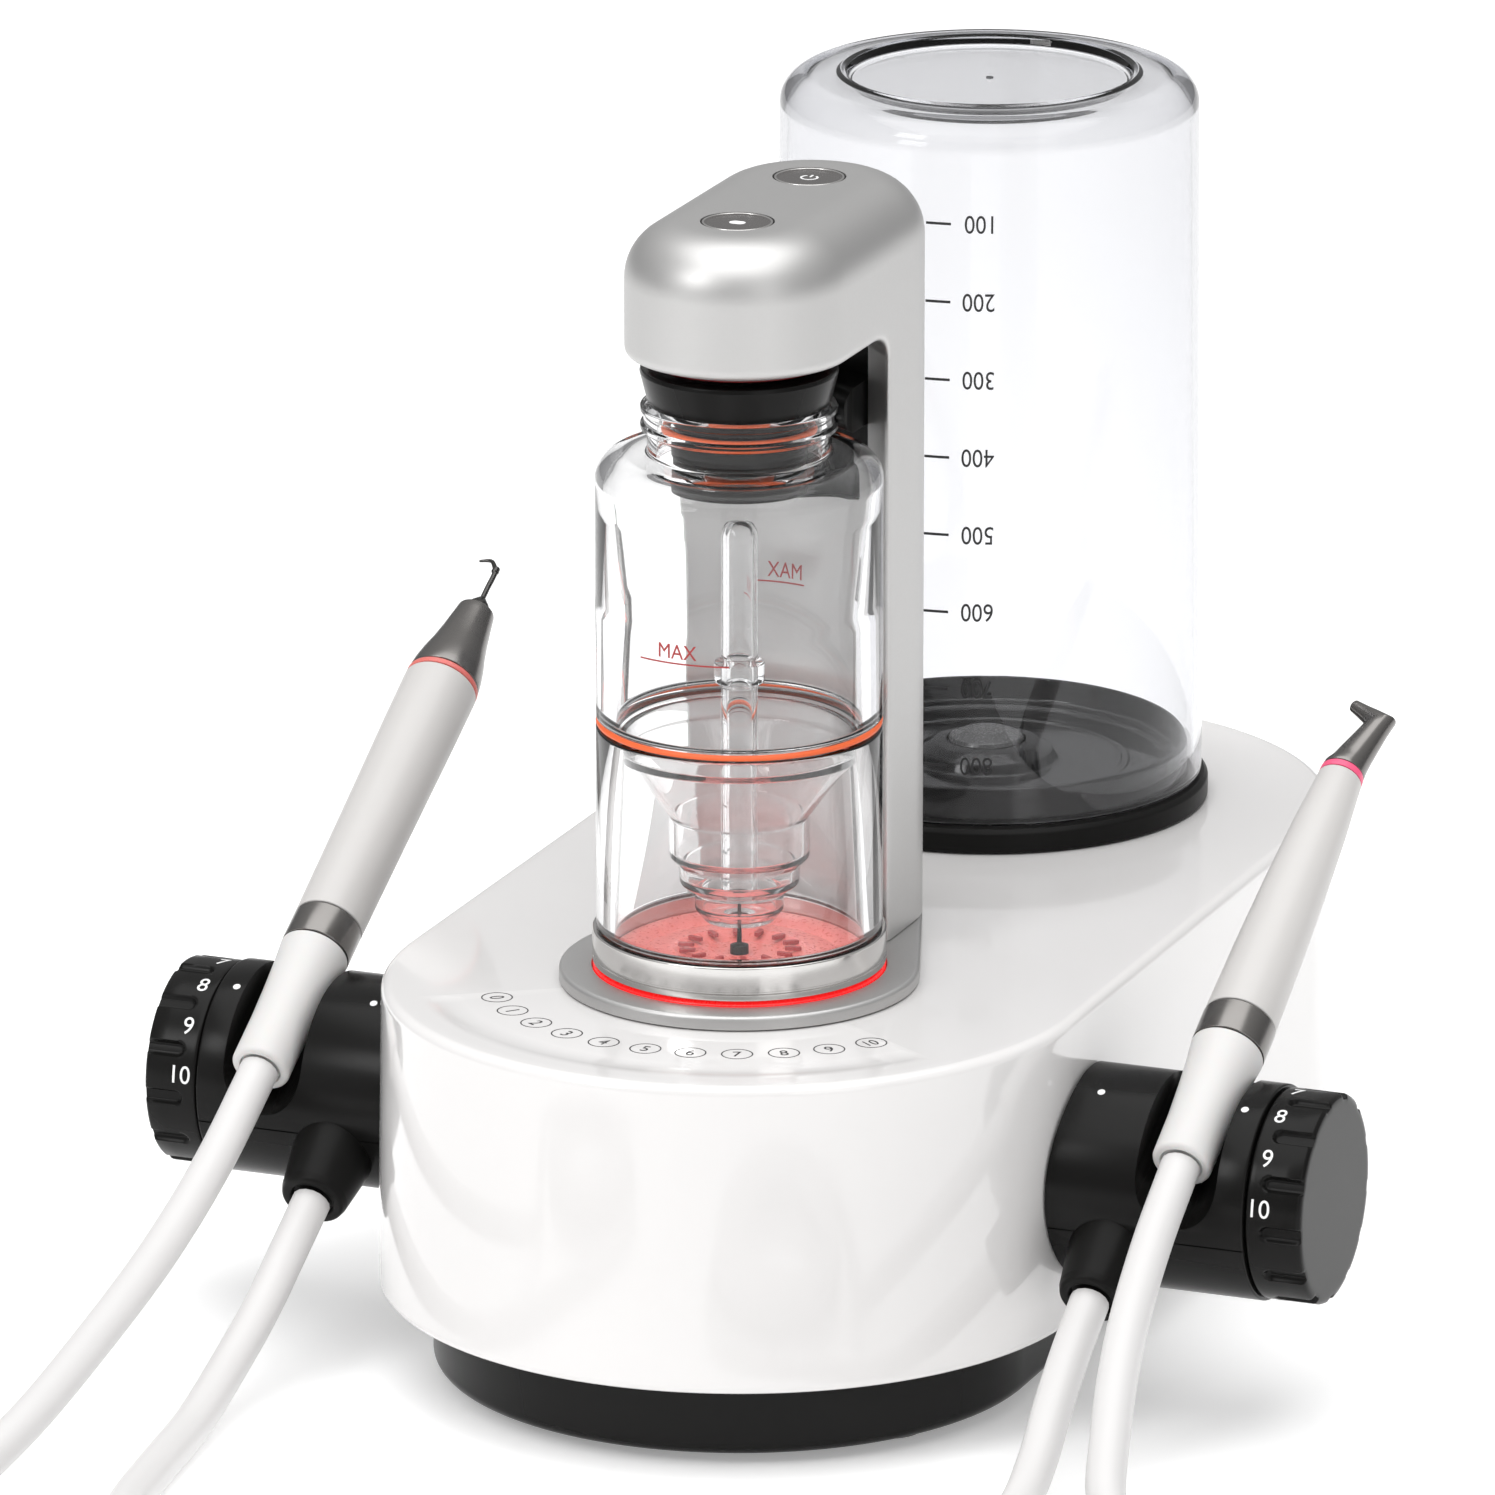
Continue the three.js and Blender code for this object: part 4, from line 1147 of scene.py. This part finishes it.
def add_chamber():
    upright("base_ring", POWDER, [
        (3, 88.6), (CHAMBER_R + 0.8, 88.6, 0.7), (CHAMBER_R + 0.8, 90.1), (CHAMBER_R + 0.5, 90.3),
        (CHAMBER_R + 0.5, 90.6), (CHAMBER_R + 0.8, 90.8), (CHAMBER_R + 0.8, 96, 0.4), (27.4, 96, 0.3),
        (27.4, 90.6, 0.3), (3, 90.6),
    ], "steel", "chamber_base_ring", 160, closed=True)
    upright("floor_seal", POWDER, [
        (0, 90.9), (27.1, 90.9, 0.4), (27.1, 93.2, 0.5), (22, 93.0), (20, 92.4, 0.6), (13.5, 93.2, 1),
        (9, 91.9, 0.6), (0, 91.9),
    ], "red_plastic", "chamber_floor", 160)
    # Painted shade: the floor's slots are not cut, and raised dark red marks stand for the shade inside
    # them.
    slot_shade_marks = [moved(slab(rounded_box((1.1, 3.4), 0.5), 92.9, 93.6), Matrix.Translation((0, -11, 0)),
                   about("Z", TURN * k / 14), POWDER) for k in range(14)]
    attach(solid("floor_slot_shade", *slot_shade_marks), "print_red", "chamber_floor")
    upright("floor_pin", POWDER, [
        (0, 91.6), (1.9, 91.6), (1.9, 93.6, 0.2), (0.5, 94, 0.2), (0.35, 103, 0.2), (0, 103.2),
    ], "black_plastic", "chamber_floor", 32, own=False)
    inner = CHAMBER_R - CHAMBER_WALL
    seam = CHAMBER_SEAM
    upright("lower_glass", POWDER, [
        (inner, 96.3, 0.6), (CHAMBER_R, 96.3, 0.8), (CHAMBER_R, seam - 0.9, 0.7),
        (inner, seam - 0.9, 0.5),
    ], CLEAR, "lower_chamber", 160, closed=True)
    rim = inner - 0.3
    upright("funnel", POWDER, [
        (3.2, 98.6), (7, 98.6, 0.7), (9.1, 101, 0.8), (9.2, 104.4, 0.6), (12.3, 106.4, 0.8),
        (12.6, 110, 0.6), (14.6, 112, 0.8), (14.7, 120, 0.8), (rim, 134, 0.8), (rim, 139, 0.6),
        (rim - 1.6, 139, 0.6), (rim - 1.6, 135, 1), (13.2, 120.6, 0.8), (13.1, 112.8, 0.6),
        (11.1, 110.8, 0.6), (10.8, 107.4, 0.6), (7.7, 105.4, 0.6), (7.6, 101.6, 0.8),
        (6.3, 100.2, 0.4), (3.2, 100.2),
    ], CLEAR, "powder_funnel", 128, closed=True, steps=4)
    upright("riser", POWDER, [
        (2.6, 104), (3.8, 104, 0.4), (3.8, 148, 0.6), (5.2, 149, 0.5), (5.2, 153, 0.5),
        (3.8, 154, 0.6), (3.8, 179.2), (3.6, 180.5), (2.9, 181.8), (1.7, 182.7), (0, 183),
        (0, 181.8), (1.2, 181.5), (2.1, 180.7), (2.6, 179.2),
    ], CLEAR, "riser_tube", 64, closed=True)
    upright("seam_seal", POWDER, bead(CHAMBER_R - 0.75, seam, 0.7, 0.6), "orange_seal", "chamber_seal",
            160, closed=True, crease=60)
    upright("upper_glass", POWDER, [
        (inner, seam + 0.9, 0.5), (CHAMBER_R, seam + 0.9, 0.7), (CHAMBER_R, 197, 10),
        (18.9, 197.6, 0.6), (18.9, 201.8, 0.4), (20.3, 202.6, 0.4), (20.3, 203.6, 0.4),
        (19.6, 204, 0.2), (19.6, 206, 0.2), (20.3, 206.4, 0.3), (20.3, NECK_TOP, 0.4),
        (17, NECK_TOP, 0.5), (17, 194.9, 0.8), (27.4, 194.9, 7.8), (27.2, 185, 20),
        (inner, 164, 30),
    ], "clear_dome", "upper_chamber", 160, closed=True, steps=12, slot=CLEAR)
    marks = []
    for angle in (-3.6, 181):
        marks.append(bent(lettering("MAX", 3.1, stretch=0.92), on_chamber(angle, 162.3)))
        marks.append(bent(bar(20 if angle < 0 else 12, 0.32), on_chamber(angle + 2, 159.8)))
    attach(solid("max_mark", *marks), "print_red", "upper_chamber")


def on_chamber(angle, height):
    """Bends a flat print onto the chamber, at degrees from the front towards +X."""
    def place(x, y, z):
        a = radians(angle) + x / CHAMBER_R
        radius = CHAMBER_R + z + 0.02
        return (POWDER.x + radius * sin(a), POWDER.y - radius * cos(a), height + y)
    return place


def add_cap():
    upright("neck_ring", POWDER, bead(15.1, 202.8, 0.95, 0.8), "orange_seal", "neck_seal",
            128, closed=True, crease=60)
    upright("cap", POWDER, [
        (0, 207.8), (18.7, 207.8, 0.4), (20.4, CAP_TOP - 0.9, 0.3), (20.2, CAP_TOP, 0.4),
        (16, CAP_TOP, 0.5), (15, 212, 0.5), (0, 212),
    ], "black_plastic", "powder_cap", 128)
    upright("plug", POWDER, [
        (0, 190.7), (13.5, 190.7, 0.5), (13.6, 196.8, 0.2), (13.9, 197.1, 0.4), (13.9, 201.5, 0.2),
        (13.2, 201.7), (13.2, 203.9), (13.9, 204.1, 0.2), (13.9, 207.4), (0, 207.4),
    ], "black_rubber", "cap_plug", 128)


# ---- water bottle ----
def add_bottle():
    head, foot, wall = BOTTLE_HEAD_R, BOTTLE_FOOT_R, BOTTLE_WALL
    top = BOTTLE_TOP
    upright("bottle", WATER, [
        (foot - wall, BOTTLE_LOW, 0.6), (foot, BOTTLE_LOW, 0.8), (foot, 97, 3), (head + 0.3, top - 20),
        (head, top - 1.2, 13), (32.6, top - 0.6, 0.6), (31.8, top, 0.6), (30.6, top - 0.4, 0.6),
        (29.8, top - 2.2, 0.8), (0, top - 2.2), (0, top - 4.1), (29.4, top - 4.1, 1),
        (31.4, top - 2.6, 1), (head - wall, top - 3, 11), (foot - wall, 97, 3),
    ], "bottle_clear", "water_bottle", 192, closed=True, steps=12, slot=CLEAR)
    upright("bottle_gate", WATER, [
        (0, top - 2.25), (0.8, top - 2.25), (0.8, top - 1.8, 0.3), (0, top - 1.7),
    ], "bottle_clear", "water_bottle", 32, own=False, slot=CLEAR)
    upright("bottle_lid", WATER, [
        (8.5, 91), (43.4, 91, 0.5), (43.4, 97.7, 0.5), (42.9, 98.2, 0.25), (42.1, 98.2, 0.25),
        (41.2, 93.2, 1), (38.6, 92.9, 0.3), (38, 92.2, 0.5), (31, 92.2, 0.3), (30.6, 92.6, 0.2),
        (29.4, 92.6, 0.2), (29, 92.2, 0.3), (15.4, 92.2, 1), (14.4, 94.6, 0.8), (11.5, 96.2, 0.6),
        (8.5, 96.7, 0.3),
    ], "black_gloss", "bottle_cap", 192, closed=True, slot="black_plastic")
    upright("valve", WATER, [
        (0, 86), (4, 86, 0.5), (8.2, 90, 0.5), (8.2, 96.6, 0.4), (7.8, 97.4, 0.6), (4.5, 98.7, 2),
        (0, 99.2),
    ], "valve_grey", "bottle_valve", 96)
    upright("seat", WATER, [
        (19.8, 84.9), (47.9, 84.9, 0.4), (47.9, 89, 0.8), (47, 90, 0.6), (19.8, 90, 0.5),
    ], "black_rubber", "bottle_seat", 192, closed=True)
    add_bottle_scale()


def bottle_radius(z):
    share = (z - 97) / (BOTTLE_TOP - 20 - 97)
    return BOTTLE_FOOT_R + (BOTTLE_HEAD_R + 0.3 - BOTTLE_FOOT_R) * min(1, max(0, share))


def on_bottle(angle, height):
    """Bends a flat print upside down onto the bottle, at degrees from the front towards +X."""
    def place(x, y, z):
        up = height - y
        radius = bottle_radius(up) + 0.05
        a = radians(angle) - x / radius
        return (WATER.x + (radius + z) * sin(a), WATER.y - (radius + z) * cos(a), up)
    return place


def add_bottle_scale():
    forms = []
    for i in range(8):
        height = 222.1 - 16.9 * i
        forms.append(bent(lettering(str(100 * (i + 1)), 3.9, stretch=0.85), on_bottle(18, height)))
        forms.append(bent(bar(5.4, 0.55), on_bottle(7, height)))
    attach(solid("bottle_scale_print", *forms), "print_black", "water_bottle")


# ---- holders ----
def holder_frame(side):
    """Local +Z runs outward along the holder, local -Y is the front and local X is up or down."""
    turn = about("Y", side * pi / 2)
    return Matrix.Translation((0, HOLDER_Y, HOLDER_Z)) @ turn


def rest_frame(side, slip):
    up = Vector((0, -sin(TILT), cos(TILT))) * REST_HEIGHT
    along = Vector((0, cos(TILT), sin(TILT))) * slip
    origin = Vector((side * TROUGH_X, HOLDER_Y, HOLDER_Z)) + up + along
    return Matrix.Translation(origin) @ about("X", -(pi / 2 - TILT))


def gland_frame(side):
    turn = about("X", pi - (pi / 2 - TILT))
    return Matrix.Translation((side * GLAND_X, HOLDER_Y, HOLDER_Z)) @ turn


GROOVE_LIFT = radians(16)


def add_holder(word, side):
    across = holder_frame(side)
    barrel = solid(f"barrel_{word}", moved(spin([
        (0, 60), (11, 60), (11, 66), (HOLDER_R, 66), (HOLDER_R, 100), (HOLDER_R, HOLDER_SEAM, 0.5),
        (HOLDER_R - 1.5, HOLDER_SEAM), (0, HOLDER_SEAM),
    ], round_plan(160)), across))
    body = solid("tool", spin(post(BODY_FOOT_R + 0.1, 10, 90), stadium_plan(AXIS_SPAN, 192)))
    carve(body, drum(96, 11.2, 55, 80, across))
    trough = solid("tool", moved(trough_form(), rest_frame(side, 0)))
    groove = block((90, 0.35), 0.1, -0.25, 0.5, about("X", pi / 2), (side * 90, 0, 0),
                   (0, -HOLDER_R, 0), about("X", GROOVE_LIFT), (0, HOLDER_Y, HOLDER_Z))
    carve(barrel, trough)
    ease_edges(barrel, 0.9, 40, 4)
    carve(barrel, body, groove)
    dress(barrel, "black_plastic", f"holder_{word}", crease=28)
    add_holder_dots(word, side)


def trough_form():
    """A U-shaped channel, round at the bottom and open upward, along local Z."""
    outline = [(TROUGH_R * cos(a), TROUGH_R * sin(a))
               for a in [pi * k / 32 for k in range(33)]]
    outline += [(-TROUGH_R, -45), (TROUGH_R, -45)]
    return capped([[(x, y, z) for x, y in outline] for z in (-60, 60)])


DOT_ANGLE = 64.6
DOT_PLACES = (81.0, 112.2)


def on_barrel(x0, angle, radius):
    """Bends a flat print onto the holder, at degrees above the front, with text upright."""
    def place(x, y, z):
        a = radians(angle) + y / radius
        out = radius + z
        return x0 + x, HOLDER_Y - out * cos(a), HOLDER_Z + out * sin(a)
    return place


def add_holder_dots(word, side):
    forms = [bent(disc(0.8), on_barrel(side * x, DOT_ANGLE, HOLDER_R)) for x in DOT_PLACES]
    dots = solid(f"holder_{word}_dots", *forms)
    attach(dots, "print_white", f"holder_{word}")


NUMBER_X = 119.9
FLUTE_START = 121.4
FLUTE_HALF = 1.75
FLUTE_DEPTH = 1.25


def flute_depth(arc, axial):
    """How deep the rim is at a distance round and along from the nearest flute's end."""
    away = hypot(arc, max(0, FLUTE_START - axial))
    return FLUTE_DEPTH * ease((FLUTE_HALF - away) / 0.7)


def knob_numbers_angle(number):
    """Degrees above the front of a number on the knob, at rest."""
    return DOT_ANGLE + (8 - number) * 360 / FLUTES


def add_knob(word, side):
    radius = HOLDER_R - 0.6
    low_z = HOLDER_SEAM + 0.4
    profile = [
        (0, low_z), (radius - 1.5, low_z), (radius, low_z, 0.6), (radius, FLUTE_START - 3.2),
    ]
    profile += [(radius, FLUTE_START - 3 + 0.35 * k) for k in range(18)]
    profile += [(radius, KNOB_END - 1.0), (radius - 0.25, KNOB_END - 0.45),
                (radius - 0.9, KNOB_END - 0.1), (radius - 1.6, KNOB_END), (radius - 2.4, KNOB_END),
                (1, KNOB_END), (0, KNOB_END)]
    outline = soften(profile, 4)
    count = FLUTES * 36
    pitch = TURN / FLUTES
    first = radians(DOT_ANGLE) + pitch / 2
    rows = []
    for r, z in outline:
        row = []
        for k in range(count):
            a = TURN * k / count
            shift = (a - first + pitch / 2) % pitch - pitch / 2
            out = min(r, radius - flute_depth(shift * radius, z))
            row.append((side * z, HOLDER_Y - out * cos(a), HOLDER_Z + out * sin(a)))
        rows.append(row)
    knob = solid(f"dial_{word}", loft(rows))
    dress(knob, "black_plastic", f"knob_{word}", crease=50)
    forms = [bent(lettering(str(number), 3.8, stretch=0.95),
                  on_barrel(side * NUMBER_X, knob_numbers_angle(number), radius))
             for number in range(11)]
    numbers = solid(f"dial_{word}_numbers", *forms)
    attach(numbers, "print_white", f"knob_{word}")


def add_gland(word, side):
    cone = solid(f"cable_gland_{word}", moved(spin([
        (0, 12), (9.4, 12), (8.6, 23), (7.2, 33.2, 1), (6.6, 35, 0.9), (4.7, 35, 0.5),
        (4.4, 33.8), (0, 33.8),
    ], round_plan(72)), gland_frame(side)))
    carve(cone, drum(160, HOLDER_R, 60, 140, holder_frame(side)))
    dress(cone, "black_rubber", f"gland_{word}")


# ---- handpieces ----
def add_turned(name, profile, finish, node, place):
    dress(solid(name, spin(profile), place=place), finish, node)


def add_scaler():
    place = rest_frame(-1, SLIPS["scaler"])
    add_turned("scaler_grip_boot", [
        (0, 0.8), (4.3, 0.8), (4.5, 0, 0.3), (6.3, 0, 1.6), (6.35, 12), (6.6, 20), (6.95, 27),
        (7.5, 33.5, 0.3), (0, 33.5),
    ], "white_silicone", "scaler_boot", place)
    add_turned("scaler_metal_band", [
        (0, 33.8), (7.5, 33.8, 0.25), (7.5, 41.8, 0.25), (0, 41.8),
    ], "gunmetal", "scaler_ring", place)
    add_turned("scaler_handle", [
        (5.8, 42.1), (7.5, 42.1, 0.3), (7.75, 70), (8.1, 100), (8.15, 112.8, 0.3), (5.8, 112.8),
    ], "white_sleeve", "scaler_sleeve", place)
    add_turned("scaler_red_ring", [
        (0, 113.0), (8.1, 113.0, 0.25), (8.1, 114.3, 0.25), (0, 114.3),
    ], "red_plastic", "scaler_accent", place)
    add_turned("scaler_cone", [
        (0, 114.5), (8, 114.5, 0.3), (7.75, 117), (7.1, 120.5), (6.2, 124), (5.4, 128), (4.9, 131),
        (4.4, 134), (4.1, 136, 0.6), (0, 136),
    ], "gunmetal", "scaler_nose", place)
    add_turned_tip(place)


def add_turned_tip(place):
    base = spin([
        (0, 136.2), (2.5, 136.2, 0.2), (2.2, 138, 0.4), (1.1, 139.6, 0.4), (0.6, 140.2), (0, 140.2),
    ], round_plan(48))
    knuckle = spin([(0, 147.6), (0.5, 147.6), (0.85, 148.1, 0.3), (0.8, 149.3, 0.3), (0, 149.6)],
                   round_plan(32))
    line = smooth_line([(0, 0, 139), (0, 0, 143), (0, 0, 148.4), (-0.7, 0, 149.8),
                        (-1.7, 0, 151.1), (-2.4, 0, 151.3), (-4.6, 0, 150.9)], 0.4)
    hook = sweep(line, lambda share: 0.6 if share < 0.62 else 0.6 - 0.85 * (share - 0.62), 16)
    tip = solid("scaler_insert", base, knuckle, hook, place=place)
    dress(tip, "dark_steel", "scaler_tip")


def add_polisher():
    place = rest_frame(1, SLIPS["polisher"])
    add_turned("polisher_grip_boot", [
        (0, 0.8), (4.3, 0.8), (4.5, 0, 0.3), (6.3, 0, 1.6), (6.4, 11), (6.75, 19), (7.2, 26),
        (7.8, 31.6, 0.3), (0, 31.6),
    ], "white_silicone", "polisher_boot", place)
    add_turned("polisher_metal_band", [
        (0, 31.9), (7.8, 31.9, 0.25), (7.8, 39.8, 0.25), (0, 39.8),
    ], "gunmetal", "polisher_ring", place)
    add_turned("polisher_handle", [
        (0, 40.1), (7.7, 40.1, 0.3), (7.3, 60), (6.6, 80), (5.8, 96), (4.75, 110.4, 0.25), (0, 110.4),
    ], "white_sleeve", "polisher_sleeve", place)
    add_turned("polisher_pink_ring", [
        (0, 110.6), (4.75, 110.6, 0.2), (4.7, 112.2, 0.2), (0, 112.2),
    ], "pink_ring", "polisher_accent", place)
    add_nozzle(place)


def add_nozzle(place):
    """A tapered body leaning one way off the sleeve, mitred to a short spout that turns back."""
    elbow = Vector((3.7, 0, 127.6))
    lean, turn = radians(14), radians(-59)
    rings = [(Vector((0, 0, 112.4)), 4.6, 0), (Vector((0.1, 0, 113.4)), 4.55, 3)]
    for k in range(1, 9):
        share = k / 9
        rings.append((Vector((0.2, 0, 113.4)).lerp(elbow, share), 4.4 - 1.75 * share ** 0.8,
                      min(14, 5 * k)))
    rows = [ring_row(spot, radius, radians(angle)) for spot, radius, angle in rings]
    rows.append(ring_row(elbow, 2.65, lean, (lean + turn) / 2))
    for k in range(1, 8):
        spot = elbow + Vector((sin(turn), 0, cos(turn))) * (1.9 + 0.9 * k)
        rows.append(ring_row(spot, 2.35 - 1.0 * (k / 7) ** 0.7, turn))
    way = Vector((sin(turn), 0, cos(turn)))
    rows.append(ring_row(elbow + way * 8.4, 1.0, turn))
    rows.append(ring_row(elbow + way * 7.0, 0.95, turn))
    nozzle = solid("polisher_spout", capped(rows), place=place)
    ease_edges(nozzle, 0.45, 32, 3)
    dress(nozzle, "gunmetal", "polisher_nozzle", crease=32)


def ring_row(spot, radius, lean, cut=None):
    """A round section across an axis leaning in XZ, slid along it onto a plane tipped by `cut`."""
    axis = Vector((sin(lean), 0, cos(lean)))
    across = Vector((cos(lean), 0, -sin(lean)))
    tipped = lean if cut is None else cut
    normal = Vector((sin(tipped), 0, cos(tipped)))
    row = []
    for k in range(48):
        a = TURN * k / 48
        point = across * radius * cos(a) + Vector((0, radius * sin(a), 0))
        row.append(tuple(spot + point - axis * (point.dot(normal) / axis.dot(normal))))
    return row


# ---- build ----
add_stage()
add_cord("left", -1)
add_cord("right", 1)
add_floor()
add_base()
add_body()
add_rear()
add_arm_plate()
add_arm()
add_recess()
add_head_light()
add_buttons()
add_port_and_light()
add_chamber()
add_cap()
add_bottle()
for word, side in (("left", -1), ("right", 1)):
    add_holder(word, side)
    add_knob(word, side)
    add_gland(word, side)
add_scaler()
add_polisher()
for node in ("chassis_plate", "power_supply", "valve_block", "scaler_transducer"):
    repaint(node, "steel")
repaint("main_board", "circuit_board")
repaint("water_pump", "black_plastic")
